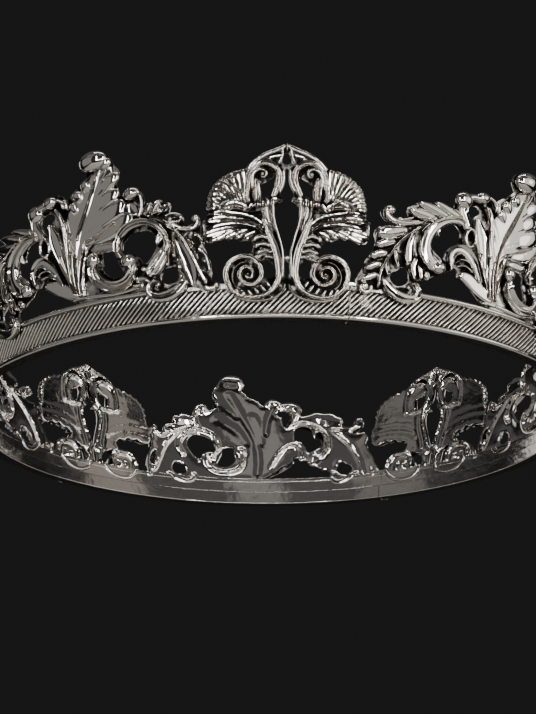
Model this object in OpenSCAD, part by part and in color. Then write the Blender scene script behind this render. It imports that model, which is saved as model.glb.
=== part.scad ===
// Full-round dress crown: five cast panels around a leaning band.
// Each panel is a ribbed strip held between a lower and an upper rail, with one shell crest
// and one taller leaf crest hooked over the upper rail. Panels meet at a seam, where a peg on
// the back of one panel's leaf crest passes through an eyelet on the next panel's rail.
// Millimetres. +Z up, the axis of the ring is Z, the rim stands on Z = 0.

/* [Band] */
// Outer radius of the band at its lower edge
band_r = 78; // [60:1:95]
// Lean of the band and crests away from upright, in degrees
flare = 10.8; // [6:0.2:15]
// Height of the band along its lean, rim to the top of the upper rail
band_h = 8; // [6.5:0.5:12]
// Thickness of the ribbed strip
strip_t = 1.6; // [1.2:0.1:2.2]
// Height of the lower rail's outer edge
lower_rail_h = 0.95; // [0.7:0.05:1.4]
// How far the lower rail stands out from the strip
lower_rail_out = 0.3; // [0.1:0.05:0.6]
// Width of the rim's flat underside
rim_w = 3; // [2.6:0.1:4]
// Height of the flange inside the strip
flange_h = 3.3; // [2:0.1:4.5]
// Height of the upper rail
upper_rail_h = 1.2; // [0.9:0.1:1.6]
// Flat left above and below the half-round bead on the upper rail
bead_margin = 0.08; // [0.05:0.01:0.2]

/* [Crests] */
// Height of the shell crest above the band, along the lean
crest_h = 31.7; // [25:0.5:40]
// Thickness of a crest in front of the strip's outer face
crest_front_t = 1.6; // [1.2:0.1:2.4]
// Thickness of a crest behind that face, where it sits on the upper rail
crest_back_t = 0.6; // [0.4:0.1:0.9]

/* [Seams] */
// Width of the gap between two neighbouring panels
seam_gap = 0.2; // [0.1:0.05:0.4]
// Radius of the peg behind each leaf crest
peg_r = 0.6; // [0.5:0.05:0.8]
// Clearance all round the peg in its eyelet
peg_clearance = 0.2; // [0.1:0.05:0.3]
// Wall of the eyelet's ring
eyelet_wall = 0.55; // [0.4:0.05:0.8]
// Depth of the hole in the leaf crest that holds the peg
peg_seat_depth = 0.9; // [0.6:0.05:1.2]

/* [Hidden] */
$fn = 48;

panel_count = 5;
panel_angle = 360 / panel_count;

// The crests are drawn on a ring of this radius and band of this height, with u along the
// ring's lower edge and v up the lean. They widen with the ring and rise with crest_h.
drawn_r = 78;
drawn_band_h = 8;
drawn_crest_h = 31.7;
drawn_seam_u = 14;
drawn_peg_u = 17;

seam_angle = along(drawn_seam_u);
peg_angle = along(drawn_peg_u);
leaf_angle = panel_angle / 2;
gap_angle = seam_gap / band_r * 180 / PI;
crest_mid_w = (crest_front_t - crest_back_t) / 2;
upper_rail_v = band_h - upper_rail_h;
eyelet_hole_r = peg_r + peg_clearance;
eyelet_r = eyelet_hole_r + eyelet_wall;
peg_v = band_h + eyelet_r;
peg_tail = 0.5;
eyelet_tab = 4.6;
crest_reach = 60;
crest_spread = 70;
crest_top = rise(50);
curve_steps = 3;

// Stretches of the upper rail, from the leaf crest's middle, that no crest foot covers
bead_spans = [[-34.8, -33.6], [-18.9, 17.3]];

// Angle round the ring of a distance along its drawn edge
function along(u) = u / drawn_r * 180 / PI;
// Height up the lean of a drawn height
function rise(v) = v > drawn_band_h
    ? band_h + (v - drawn_band_h) * crest_h / drawn_crest_h
    : v * band_h / drawn_band_h;
// Radius and height of a point w outside the strip's face and v up the lean
function lean_r(w, v) = band_r + v * sin(flare) + w * cos(flare);
function lean_z(w, v) = v * cos(flare) - w * sin(flare);
// A cross-section given as [w, v] pairs
function section(pairs) = [for (p = pairs) [lean_r(p[0], p[1]), lean_z(p[0], p[1])]];

// Catmull-Rom curve from b to c, and a closed smooth line through a list of points
function curve_point(a, b, c, d, t) =
    b + (c - a) * t / 2 + (2 * a - 5 * b + 4 * c - d) * t * t / 2
    + (3 * b - a - 3 * c + d) * t * t * t / 2;
function smooth_loop(p, steps) = let (n = len(p)) [
    for (i = [0 : n - 1], s = [0 : steps - 1])
        curve_point(p[(i + n - 1) % n], p[i], p[(i + 1) % n], p[(i + 2) % n], s / steps)
];
// A drawn point as the front view of its place on the leaning ring
function front_view(p) = let (v = rise(p[1]))
    [lean_r(crest_mid_w, v) * sin(along(p[0])), lean_z(crest_mid_w, v)];
function front_loop(p) = [for (q = smooth_loop(p, curve_steps)) front_view(q)];
// A right half from top to bottom, both ends on the middle line, closed by its mirror image
function both_halves(p) = concat(p, [for (i = [len(p) - 2 : -1 : 1]) [-p[i][0], p[i][1]]]);
function mirrored(p) = [for (i = [len(p) - 1 : -1 : 0]) [-p[i][0], p[i][1]]];

// Shell crest: right half of the edge, cap first, then the fan, the leaf and the volute
shell_half = [
    [0, 39.7], [1.2, 39.0], [2.5, 38.3], [4.4, 37.5], [6.0, 36.4], [7.2, 35.4], [8.4, 34.0],
    [9.6, 33.9], [10.3, 33.1], [11.2, 33.5], [12.1, 32.6], [13.1, 32.6], [13.8, 31.6], [14.7, 31.4],
    [15.2, 30.4], [15.9, 30.0], [16.1, 29.0], [16.7, 28.4], [16.6, 27.4], [17.0, 26.6], [16.8, 25.6],
    [17.1, 24.6], [17.2, 23.2], [17.9, 22.2], [18.0, 20.6], [17.8, 18.4], [16.9, 17.4], [15.2, 17.6],
    [13.8, 18.3], [12.5, 17.9], [11.2, 18.4], [9.9, 17.4], [8.4, 17.6], [7.4, 16.2], [7.7, 15.0],
    [8.4, 14.3], [10.3, 14.1], [12.2, 13.1], [13.3, 11.5], [13.7, 9.4], [13.5, 7.4], [12.6, 5.7],
    [11.0, 4.3], [8.2, 3.5], [5.2, 3.5], [2.8, 4.1], [1.2, 5.2], [0, 6.2]
];
keyhole_half = [
    [0, 34.0], [0.45, 33.2], [0.45, 31.0], [0.9, 29.2], [1.5, 27.8], [1.0, 26.6],
    [2.1, 25.4], [2.6, 23.4], [2.1, 20.4], [1.2, 17.2], [0.6, 15.0], [0, 14.0]
];
cap_hole_half = [[0, 37.6], [0.8, 36.6], [0.9, 35.4], [0, 34.8]];
slot_half = [[0, 12.6], [0.4, 12.2], [0.5, 10.6], [0.4, 9.2], [0, 8.8]];
shell_side_holes = [
    [[2.5, 32.0], [3.8, 31.2], [5.6, 29.9], [5.7, 28.0], [5.0, 27.0], [3.5, 27.3], [2.9, 28.6], [2.7, 30.4]],
    [[2.4, 9.6], [2.6, 11.2], [3.6, 12.6], [5.8, 13.7], [5.4, 12.0], [5.2, 10.2], [5.4, 9.0], [3.8, 8.8]],
    [[3.4, 36.3], [4.8, 36.3], [6.0, 35.3], [4.6, 35.6], [3.0, 35.0], [2.4, 34.3], [2.3, 35.2]]
];
shell_edge = both_halves(shell_half);
shell_holes = concat(
    [both_halves(keyhole_half), both_halves(cap_hole_half), both_halves(slot_half)],
    shell_side_holes,
    [for (h = shell_side_holes) mirrored(h)]
);

// Leaf crest: its edge clockwise from the rolled tip, right side, feet, then the left side
leaf_edge = [
    [4.1, 39.0], [5.0, 41.2], [7.2, 42.1], [9.4, 41.6], [10.9, 40.0], [11.6, 38.2], [12.7, 36.8],
    [12.3, 35.2], [11.7, 34.2], [12.1, 32.8], [11.7, 31.3], [13.1, 30.5], [14.0, 30.4],
    [14.6, 31.7], [16.0, 32.2], [17.5, 31.4], [18.3, 29.4], [18.6, 28.0],
    [20.2, 28.3], [21.6, 28.5], [22.4, 27.8], [23.9, 27.4], [23.9, 26.2], [23.6, 25.2],
    [25.1, 24.8], [26.7, 24.0], [26.7, 22.6], [27.8, 21.9], [28.7, 22.2], [29.0, 23.5],
    [29.8, 23.9], [30.4, 22.8], [30.5, 21.0], [30.4, 19.8], [31.0, 18.4], [31.0, 16.6],
    [31.8, 14.8], [32.5, 12.4], [32.6, 10.2], [32.4, 8.7], [33.8, 8.2], [34.2, 7.0], [33.2, 6.2],
    [30.8, 6.2], [29.4, 7.2], [27.2, 7.6], [25.8, 6.5], [23.8, 5.2], [21.4, 4.7], [19.2, 5.2],
    [17.9, 6.4], [17.6, 8.0], [14.5, 8.0], [11.0, 8.0], [6.0, 8.0], [1.0, 8.0], [-1.6, 8.6],
    [-4.0, 10.3], [-6.4, 12.2], [-9.2, 13.4], [-9.0, 14.6], [-10.2, 15.2], [-11.2, 14.2],
    [-12.6, 14.3], [-13.6, 12.9], [-15.4, 12.1], [-17.0, 11.2], [-19.2, 10.6], [-19.7, 9.4],
    [-19.0, 7.8], [-19.4, 6.0], [-21.2, 4.8], [-23.6, 5.0], [-25.6, 6.3], [-27.2, 7.6],
    [-28.8, 7.2], [-30.2, 7.4], [-31.4, 6.2], [-32.8, 6.8], [-33.3, 8.4], [-33.3, 10.2],
    [-32.2, 12.0], [-31.8, 13.6], [-30.8, 15.0], [-30.0, 16.6], [-29.4, 18.4], [-29.9, 20.4],
    [-28.8, 21.9], [-27.0, 21.8], [-25.2, 22.4], [-27.3, 23.4], [-28.5, 24.9], [-28.2, 26.4],
    [-27.0, 26.8], [-26.0, 26.0], [-25.7, 24.6], [-24.2, 24.1], [-22.4, 25.0], [-22.6, 27.0],
    [-20.8, 28.1], [-19.2, 29.0], [-17.2, 29.1], [-15.4, 29.6], [-13.0, 28.9], [-11.2, 28.6],
    [-11.0, 30.4], [-9.8, 32.5], [-8.0, 33.3], [-6.0, 32.9], [-4.8, 33.8], [-3.2, 34.4],
    [-1.8, 33.6], [-0.8, 32.2], [0.4, 33.4], [1.8, 34.4], [3.0, 34.8], [4.0, 36.0], [5.0, 37.2]
];
leaf_holes = [
    [[-8.8, 28.6], [-8.3, 30.2], [-6.5, 30.6], [-4.8, 30.2], [-4.5, 29.0], [-5.8, 28.0], [-6.2, 26.2],
        [-6.9, 24.9], [-8.2, 25.8]],
    [[-17.4, 20.6], [-17.2, 18.4], [-15.0, 17.3], [-13.2, 16.7], [-12.4, 18.5], [-11.0, 20.1],
        [-9.5, 20.6], [-9.4, 22.6], [-9.4, 24.2], [-10.8, 25.2], [-12.6, 25.1], [-14.0, 24.0],
        [-14.9, 21.4], [-15.8, 23.2], [-16.9, 22.4]],
    [[-25.8, 10.4], [-25.3, 11.8], [-24.2, 12.3], [-23.2, 13.2], [-22.0, 13.0], [-21.3, 11.6],
        [-21.6, 9.8], [-23.2, 8.8], [-24.8, 9.0]],
    [[12.5, 19.4], [12.3, 17.6], [13.0, 16.6], [14.8, 16.8], [16.2, 15.6], [17.0, 14.2], [18.4, 14.8],
        [19.6, 16.4], [20.5, 18.2], [20.2, 20.2], [18.8, 21.6], [16.6, 21.9], [14.4, 21.2]],
    [[7.3, 18.2], [7.4, 16.2], [7.0, 14.4], [8.4, 12.6], [10.4, 11.9], [12.2, 12.5], [11.6, 14.2],
        [10.8, 16.0], [10.6, 17.8], [9.0, 18.4]],
    [[21.0, 9.6], [21.2, 11.2], [22.2, 12.4], [23.4, 12.8], [24.6, 12.4], [25.2, 10.8], [24.6, 9.4],
        [22.8, 8.8]],
    [[29.6, 15.8], [30.8, 15.0], [31.5, 13.2], [31.6, 11.4], [30.6, 11.4], [29.8, 13.2]],
    [[23.9, 23.8], [25.0, 24.0], [26.0, 23.6], [25.2, 23.1], [24.2, 23.1]]
];
// Rolled ends that stand out of the leaf crest: [u, v, w, radius]
leaf_rolls = [[7.6, 39.8, 1.2, 2.0], [-3.3, 32.8, 0.6, 1.4], [15.7, 30.7, 0.6, 1.3]];

// A solid of the given [w, v] section between two angles, which are measured from -Y
module ring_stretch(pairs, from, to) {
    rotate([0, 0, from - 90])
        rotate_extrude(angle = to - from)
            polygon(section(pairs));
}

// Children placed on the lean with +Z along its outward normal
module on_lean(angle, w, v) {
    rotate([0, 0, angle])
        translate([0, -lean_r(w, v), lean_z(w, v)])
            rotate([90 + flare, 0, 0])
                children();
}

// Angles at which panel k starts and ends
function panel_start(k) = (k - 1) * panel_angle + seam_angle + gap_angle / 2;
function panel_end(k) = k * panel_angle + seam_angle - gap_angle / 2;

module lower_rail(k) {
    inner_r = band_r - rim_w;
    rise_r = flange_h * sin(flare);
    rise_z = flange_h * cos(flare);
    color("#8f8c88")
        rotate([0, 0, panel_start(k) - 90])
            rotate_extrude(angle = panel_end(k) - panel_start(k))
                polygon(concat(
                    [[inner_r, 0], [band_r, 0]],
                    section([
                        [lower_rail_out, lower_rail_h * 0.35], [lower_rail_out, lower_rail_h * 0.75],
                        [0, lower_rail_h], [-strip_t, lower_rail_h], [-strip_t, flange_h]
                    ]),
                    [[inner_r + rise_r, rise_z]]
                ));
}

module ribbed_strip(k) {
    color("#a19d98")
        ring_stretch([
            [-strip_t, lower_rail_h], [0, lower_rail_h], [0, upper_rail_v], [-strip_t, upper_rail_v]
        ], panel_start(k), panel_end(k));
}

module upper_rail(k) {
    bead_r = upper_rail_h / 2 - bead_margin;
    leaf_middle = k * panel_angle - leaf_angle;
    color("#b4b0aa") {
        ring_stretch([
            [-strip_t, upper_rail_v], [0, upper_rail_v], [0, band_h], [-strip_t, band_h]
        ], panel_start(k), panel_end(k));
        for (span = bead_spans)
            rotate([0, 0, leaf_middle + along(span[0]) - 90])
                rotate_extrude(angle = along(span[1] - span[0]))
                    translate(section([[0, band_h - upper_rail_h / 2]])[0])
                        circle(r = bead_r);
    }
}

// The leaning shell that a crest is cut from, with a step that sits on the upper rail
module crest_shell() {
    ring_stretch([
        [0, 0], [crest_front_t, 0], [crest_front_t, crest_top],
        [-crest_back_t, crest_top], [-crest_back_t, band_h], [0, band_h]
    ], -crest_spread / 2, crest_spread / 2);
}

module pierced_crest(edge, holes) {
    intersection() {
        crest_shell();
        translate([0, -band_r / 2, 0])
            rotate([90, 0, 0])
                linear_extrude(height = crest_reach)
                    difference() {
                        polygon(front_loop(edge));
                        for (hole = holes)
                            polygon(front_loop(hole));
                    }
    }
}

module shell_crest(k) {
    color("#9b9893")
        rotate([0, 0, k * panel_angle])
            pierced_crest(shell_edge, shell_holes);
}

module leaf_crest(k) {
    color("#aaa6a0")
        rotate([0, 0, k * panel_angle - leaf_angle])
            difference() {
                union() {
                    pierced_crest(leaf_edge, leaf_holes);
                    for (roll = leaf_rolls)
                        on_lean(along(roll[0]), roll[2], rise(roll[1]))
                            sphere(r = roll[3]);
                }
                on_lean(peg_angle - leaf_angle, -crest_back_t - 1, peg_v)
                    cylinder(r = peg_r, h = 1 + peg_seat_depth);
            }
}

// One eyelet per seam: a ring round the peg and a tab along the top of the upper rail
module seam_eyelets() {
    eyelet_t = strip_t - crest_back_t;
    color("#827f7b")
        for (k = [1 : panel_count])
            rotate([0, 0, k * panel_angle])
                on_lean(peg_angle, -strip_t, peg_v)
                    linear_extrude(height = eyelet_t)
                        difference() {
                            union() {
                                circle(r = eyelet_r);
                                translate([-eyelet_tab, -eyelet_r])
                                    square([eyelet_tab, eyelet_wall]);
                            }
                            circle(r = eyelet_hole_r);
                        }
}

module seam_pegs() {
    peg_back_w = -strip_t - peg_tail;
    peg_front_w = peg_seat_depth - crest_back_t;
    color("#c2beb8")
        for (k = [1 : panel_count])
            rotate([0, 0, k * panel_angle])
                on_lean(peg_angle, peg_back_w, peg_v) {
                    cylinder(r = peg_r, h = peg_front_w - peg_back_w);
                    sphere(r = peg_r);
                }
}

lower_rail(1);  // lower_rail_1
lower_rail(2);  // lower_rail_2
lower_rail(3);  // lower_rail_3
lower_rail(4);  // lower_rail_4
lower_rail(5);  // lower_rail_5
ribbed_strip(1);  // ribbed_strip_1
ribbed_strip(2);  // ribbed_strip_2
ribbed_strip(3);  // ribbed_strip_3
ribbed_strip(4);  // ribbed_strip_4
ribbed_strip(5);  // ribbed_strip_5
upper_rail(1);  // upper_rail_1
upper_rail(2);  // upper_rail_2
upper_rail(3);  // upper_rail_3
upper_rail(4);  // upper_rail_4
upper_rail(5);  // upper_rail_5
shell_crest(1);  // shell_crest_1
shell_crest(2);  // shell_crest_2
shell_crest(3);  // shell_crest_3
shell_crest(4);  // shell_crest_4
shell_crest(5);  // shell_crest_5
leaf_crest(1);  // leaf_crest_1
leaf_crest(2);  // leaf_crest_2
leaf_crest(3);  // leaf_crest_3
leaf_crest(4);  // leaf_crest_4
leaf_crest(5);  // leaf_crest_5
seam_eyelets();
seam_pegs();
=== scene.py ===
"""Full-round dress crown: cast and plated metal panels around a leaning band, in metres."""

import bpy
import numpy as np
from mathutils import Matrix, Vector
from mathutils.geometry import delaunay_2d_cdt


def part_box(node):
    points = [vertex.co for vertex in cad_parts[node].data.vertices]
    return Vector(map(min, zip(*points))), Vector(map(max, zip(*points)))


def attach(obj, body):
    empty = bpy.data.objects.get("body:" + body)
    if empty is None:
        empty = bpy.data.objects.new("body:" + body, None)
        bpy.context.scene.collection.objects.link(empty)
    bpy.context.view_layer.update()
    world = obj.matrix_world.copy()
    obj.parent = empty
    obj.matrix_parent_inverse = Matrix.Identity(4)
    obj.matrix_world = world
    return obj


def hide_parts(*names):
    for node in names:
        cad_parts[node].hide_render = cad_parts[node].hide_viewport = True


bl_info = {
    "name": "Dress Crown",
    "version": (1, 0, 0),
    "blender": (4, 5, 0),
    "location": "3D View > Sidebar > Crown",
    "description": "Cast relief, ribbed band and plated finish for a five-panel dress crown",
    "category": "Object",
}

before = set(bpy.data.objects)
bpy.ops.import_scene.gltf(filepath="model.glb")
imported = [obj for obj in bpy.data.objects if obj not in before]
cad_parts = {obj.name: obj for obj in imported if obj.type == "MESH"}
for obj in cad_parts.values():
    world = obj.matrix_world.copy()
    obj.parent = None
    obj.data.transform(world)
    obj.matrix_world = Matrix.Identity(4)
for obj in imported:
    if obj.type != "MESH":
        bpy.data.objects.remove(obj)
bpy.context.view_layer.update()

MM = 0.001
PANELS = 5
PANEL_ANGLE = 360 / PANELS
# The relief is drawn in mm on a ring of this radius, above a band of this height, with u
# along the ring and v up the lean. It widens with the ring and rises with the crest height.
DRAWN_R = 78.0
DRAWN_BAND_H = 8.0
DRAWN_CREST_H = 31.7
DRAWN_SEAM_U = 14.0


# ---------------------------------------------------------------- sizes and colours
def length(label, text, value):
    """A length property in metres."""
    return bpy.props.FloatProperty(
        name=label, description=text, default=value, min=0, unit="LENGTH", precision=5)


def colour(label, text, hex_code):
    """A colour property whose default is an sRGB hex value turned to linear."""
    return bpy.props.FloatVectorProperty(
        name=label, description=text, default=linear(hex_code), size=3, min=0, max=1,
        subtype="COLOR")


def factor(label, text, value, top=1.0):
    """A plain number from 0 to top."""
    return bpy.props.FloatProperty(
        name=label, description=text, default=value, min=0, max=top, subtype="FACTOR")


def brightness(label, text, value):
    """A radiance, with no upper limit."""
    return bpy.props.FloatProperty(name=label, description=text, default=value, min=0)


def linear(hex_code):
    """sRGB hex to linear: each channel over 255, then the standard 2.4-power curve."""
    raw = np.array([int(hex_code[i:i + 2], 16) for i in (1, 3, 5)]) / 255
    return tuple(np.where(raw <= 0.04045, raw / 12.92, ((raw + 0.055) / 1.055) ** 2.4))


LEAN = np.radians(10.8)
LOWER_RAIL_H = 0.00095
# The lower rail's lip stands out this far, up to this share of the rail's height
LIP_OUT = 0.0003
LIP_SHARE = 0.75


def frame_band_radius():
    """Outer radius at the rim: the lower rails' widest reach, less what the lip adds."""
    reach = max(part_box(f"lower_rail_{k}")[1][0] for k in range(1, PANELS + 1))
    return reach - LIP_SHARE * LOWER_RAIL_H * np.sin(LEAN) - LIP_OUT * np.cos(LEAN)


class CrownSizes(bpy.types.PropertyGroup):
    band_radius: length("Band radius", "Outer radius of the band at the rim",
                        frame_band_radius())
    lean: bpy.props.FloatProperty(
        name="Lean", description="Lean of band and crests away from upright",
        default=LEAN, min=0, max=0.5, subtype="ANGLE", unit="ROTATION")
    band_height: length("Band height", "Rim to top of the upper rail, up the lean", 0.008)
    strip_thickness: length("Strip thickness", "Ribbed strip, front to back", 0.0016)
    lower_rail_height: length("Lower rail height", "Height of its outer edge", LOWER_RAIL_H)
    rim_width: length("Rim width", "Flat underside", 0.003)
    flange_height: length("Flange height", "Flange inside the strip", 0.0033)
    upper_rail_height: length("Upper rail height", "Height of the upper rail", 0.0012)
    crest_height: length("Crest height", "Shell crest above the band", 0.0317)
    crest_back: length("Crest back", "Crest wall behind the strip's face", 0.0006)
    seam_gap: length("Seam gap", "Gap between two panels", 0.0002)
    rib_pitch: length("Rib pitch", "Rib spacing along the strip", 0.00131)
    rib_height: length("Rib height", "Ridge to groove of the ribs", 0.00055)
    rib_slant: factor("Rib slant", "Sideways run of a rib for each step up", 1.0, 2.0)


class CrownFinish(bpy.types.PropertyGroup):
    silver: colour("Plating", "Bright plated silver on the ridges", "#CDC8C2")
    # this dark colour paints oxide in the hollows and also painted shade, wherever the recess
    # attribute says; the recess roughness goes with it
    oxide_and_shade: colour("Tarnish", "Dark oxide left in the recesses", "#0D0B0A")
    solder: colour("Solder", "Bright solder at the seams", "#CFCAC3")
    gloss_roughness: factor("Ridge roughness", "Roughness of polished ridges", 0.1)
    recess_roughness: factor("Recess roughness", "Roughness of tarnished recesses", 0.42)


class CrownStudio(bpy.types.PropertyGroup):
    floor: colour("Floor", "Pale studio floor", "#D8D6D2")
    key_power: brightness("Key light", "Radiance that the softboxes are set against", 4.0)
    room: brightness("Room light", "Brightness of the room near the horizon", 0.012)
    ceiling: brightness("Ceiling light", "Brightness of the room overhead", 0.1)


# ---------------------------------------------------------------- surfaces
# A surface is (points, quads, triangles, recess): points are rows of u, v, w in mm and recess runs
# from 0 on polished ridges to 1 in hollows, which are darkened with oxide and painted shade.
def catmull_rom(a, b, c, d, t):
    """Cubic from b at t = 0 to c at t = 1, whose slope at each end is half the step between
    the two points next to it."""
    return (b + (c - a) * t / 2 + (2 * a - 5 * b + 4 * c - d) * t ** 2 / 2
            + (3 * b - a - 3 * c + d) * t ** 3 / 2)


def smooth_line(rows, step=0.42):
    """Catmull-Rom line through the rows, sampled about every step mm."""
    p = np.asarray(rows, float)
    ends = np.vstack([2 * p[0] - p[1], p, 2 * p[-1] - p[-2]])
    counts = np.maximum(2, np.ceil(np.hypot(*np.diff(p[:, :2], axis=0).T) / step)).astype(int)
    leg = np.append(np.repeat(np.arange(len(counts)), counts), len(counts) - 1)
    within = np.arange(counts.sum()) - np.repeat(np.cumsum(counts) - counts, counts)
    t = np.append(within / np.repeat(counts, counts), 1.0)[:, None]
    return catmull_rom(ends[leg], ends[leg + 1], ends[leg + 2], ends[leg + 3], t)


def closed_line(rows, steps=3):
    """Closed Catmull-Rom line through the rows, with the given points for each leg."""
    p = np.asarray(rows, float)
    t = (np.arange(steps) / steps)[None, :, None]
    near = (np.roll(p, shift, 0)[:, None] for shift in (1, 0, -1, -2))
    return catmull_rom(*near, t).reshape(-1, 2)


def length_along(line):
    """Length of the line from its start to each of its points."""
    return np.append(0, np.cumsum(np.hypot(*np.diff(line[:, :2], axis=0).T)))


def spaced(rows, shares):
    """Places at the given shares of the length of the smooth line through the rows."""
    line = smooth_line(rows, 0.2)
    run = length_along(line)
    return np.stack([np.interp(shares * run[-1], run, column) for column in line.T], -1)


def filled(rows, half, lift):
    """Rows of (u, v), (u, v, half) or (u, v, half, lift): missing values run evenly between
    the given ones, or take the strap's own where none is given."""
    out = np.full((len(rows), 4), np.nan)
    for row, given in zip(out, rows):
        row[:len(given)] = given
    at = np.arange(len(out))
    for column, usual in ((2, half), (3, lift)):
        known = ~np.isnan(out[:, column])
        out[:, column] = (np.interp(at, at[known], out[known, column]) if known.any()
                          else usual)
    return out


def outward(points, quads, tris):
    """Faces turned so that the volume they enclose is positive."""
    a, b, c, d = (points[quads[:, i]] for i in range(4))
    volume = np.einsum("ij,ij->", a, np.cross(b, c)) + np.einsum("ij,ij->", a, np.cross(c, d))
    if len(tris):
        a, b, c = (points[tris[:, i]] for i in range(3))
        volume += np.einsum("ij,ij->", a, np.cross(b, c))
    return (quads, tris) if volume > 0 else (quads[:, ::-1], tris[:, ::-1])


def skin(rings, recess):
    """Closed skin over a stack of rings: quads join each ring to the next, and a fan of
    triangles closes each end on the ring's mean point."""
    n, m = rings.shape[:2]
    i, j = np.meshgrid(np.arange(n - 1), np.arange(m), indexing="ij")
    k = (j + 1) % m
    quads = np.stack([i * m + j, i * m + k, (i + 1) * m + k, (i + 1) * m + j], -1)
    j, k = j[0], k[0]
    last = (n - 1) * m
    tris = np.concatenate([
        np.stack([np.full(m, n * m), k, j], -1),
        np.stack([np.full(m, n * m + 1), last + j, last + k], -1)])
    points = np.concatenate([rings.reshape(-1, 3), [rings[0].mean(0)], [rings[-1].mean(0)]])
    shade = np.concatenate([recess.ravel(), [recess[0].mean()], [recess[-1].mean()]])
    quads, tris = outward(points, quads.reshape(-1, 4), tris)
    return points, quads, tris, shade


def joined(surfaces):
    """Many surfaces as one, each one's face numbers moved past the points before it."""
    starts = np.cumsum([0] + [len(s[0]) for s in surfaces])
    return (np.concatenate([s[0] for s in surfaces]),
            np.concatenate([s[1] + start for s, start in zip(surfaces, starts)]),
            np.concatenate([s[2] + start for s, start in zip(surfaces, starts)]),
            np.concatenate([s[3] for s in surfaces]))


def mirror(surface):
    """The surface with u turned to -u, and its faces turned back to face out."""
    points, quads, tris, shade = surface
    return points * (-1, 1, 1), quads[:, ::-1], tris[:, ::-1], shade


# ---------------------------------------------------------------- relief
# Relief starts at this height over the strip's outer face, and its foot is sunk below it
RELIEF_W = 0.1
FOOT_DEPTH = 0.25


def even(*half):
    """A cross-section given as its left half, with the same rows mirrored on its right."""
    return half + tuple((-across, up) for across, up in half[::-1] if across)


# Cross-sections of the relief as rows of (place across, height): -1 and 1 are the edges
SECTIONS = {
    "round": even((-1, .15), (-.93, .5), (-.72, .8), (-.38, .96), (0, 1)),
    "fluted": even((-1, .2), (-.93, .74), (-.76, 1), (-.56, .9), (-.36, .62), (-.14, .5)),
    "ridge": even((-1, .15), (-.88, .42), (-.55, .5), (-.24, .68), (-.09, .96)),
    "petal": even((-1, .15), (-.9, .66), (-.62, .95), (-.34, .93), (-.12, .66), (0, .56)),
    "veined": even((-1, .2), (-.9, .85), (-.74, 1), (-.58, .8), (-.5, .5), (-.34, .55),
                   (-.22, .86), (0, 1)),
    "lobe": even((-1, .3), (-.98, .62), (-.93, .84), (-.8, .95), (-.45, 1), (0, .98)),
    "blade": even((-1, .25), (-.94, .7), (-.84, .92), (-.7, .78), (-.35, .62), (0, .58)),
    "groove": ((-1, .3), (-.94, .8), (-.8, 1), (-.62, .96), (-.42, .8), (-.2, .68), (.1, .66),
               (.4, .74), (.62, .92), (.8, 1), (.94, .8), (1, .3)),
    "swell": ((-1, .2), (-.94, .55), (-.78, .84), (-.5, .97), (-.2, 1), (.15, .97), (.5, .86),
              (.78, .68), (.94, .45), (1, .2)),
    "crescent": ((-1, .25), (-.95, .72), (-.86, .95), (-.74, 1), (-.62, .82), (-.5, .72),
                 (-.1, .8), (.3, .86), (.6, .82), (.84, .66), (.95, .48), (1, .2)),
}


def strap(kind, half, lift, *rows):
    """Strap of relief: a cross-section carried along a smooth line, square to it. Its width
    and height follow the rows, and both fall off as a quarter circle at the two ends."""
    line = smooth_line(filled(rows, half, lift))
    section = np.array(SECTIONS[kind])
    run = length_along(line)
    along = np.gradient(line[:, :2], axis=0)
    along /= np.linalg.norm(along, axis=1)[:, None] + 1e-9
    side = np.stack([-along[:, 1], along[:, 0]], -1)
    to_end = np.minimum(run, run[-1] - run)
    wide = np.maximum(line[:, 2], 0.05)
    taper = np.sqrt(1 - (1 - np.clip(to_end / wide, 0.02, 1)) ** 2)
    wide = wide * taper
    tall = line[:, 3] * (0.45 + 0.55 * taper)
    across = np.append(section[:, 0], [0.7, -0.7])
    up = np.append(section[:, 1], [0, 0])
    rings = np.empty((len(line), len(across), 3))
    rings[:, :, :2] = line[:, None, :2] + side[:, None, :] * (wide[:, None] * across)[..., None]
    rings[:, :, 2] = RELIEF_W + tall[:, None] * up
    rings[:, -2:, 2] = RELIEF_W - FOOT_DEPTH
    # the low parts of the cross-section are darkened with oxide and painted shade, from 82% of its
    # height downwards
    recess = np.broadcast_to(np.clip((0.82 - up) / 0.6, 0, 1), rings.shape[:2])
    return skin(rings, recess)


def dome(u, v, w, ru, rv, rw, turn=0.0):
    """Ball of relief: an ellipsoid with radii ru, rv, rw, turned about its own w axis."""
    lat = np.linspace(-np.pi / 2, np.pi / 2, 14)[1:-1]
    lon = np.linspace(0, 2 * np.pi, 20, endpoint=False)
    x = ru * np.cos(lat)[:, None] * np.cos(lon)
    y = rv * np.cos(lat)[:, None] * np.sin(lon)
    c, s = np.cos(np.radians(turn)), np.sin(np.radians(turn))
    z = np.broadcast_to(rw * np.sin(lat)[:, None], x.shape)
    rings = np.stack([u + x * c - y * s, v + x * s + y * c, w + z], -1)
    # the ball darkens towards the plate it stands on: painted shade where it meets the plate, with
    # oxide
    points, quads, tris, shade = skin(rings, np.clip(-z / rw, 0, 1) * 0.7)
    points[-2, 2], points[-1, 2] = w - rw, w + rw
    return points, quads, tris, shade


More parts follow.
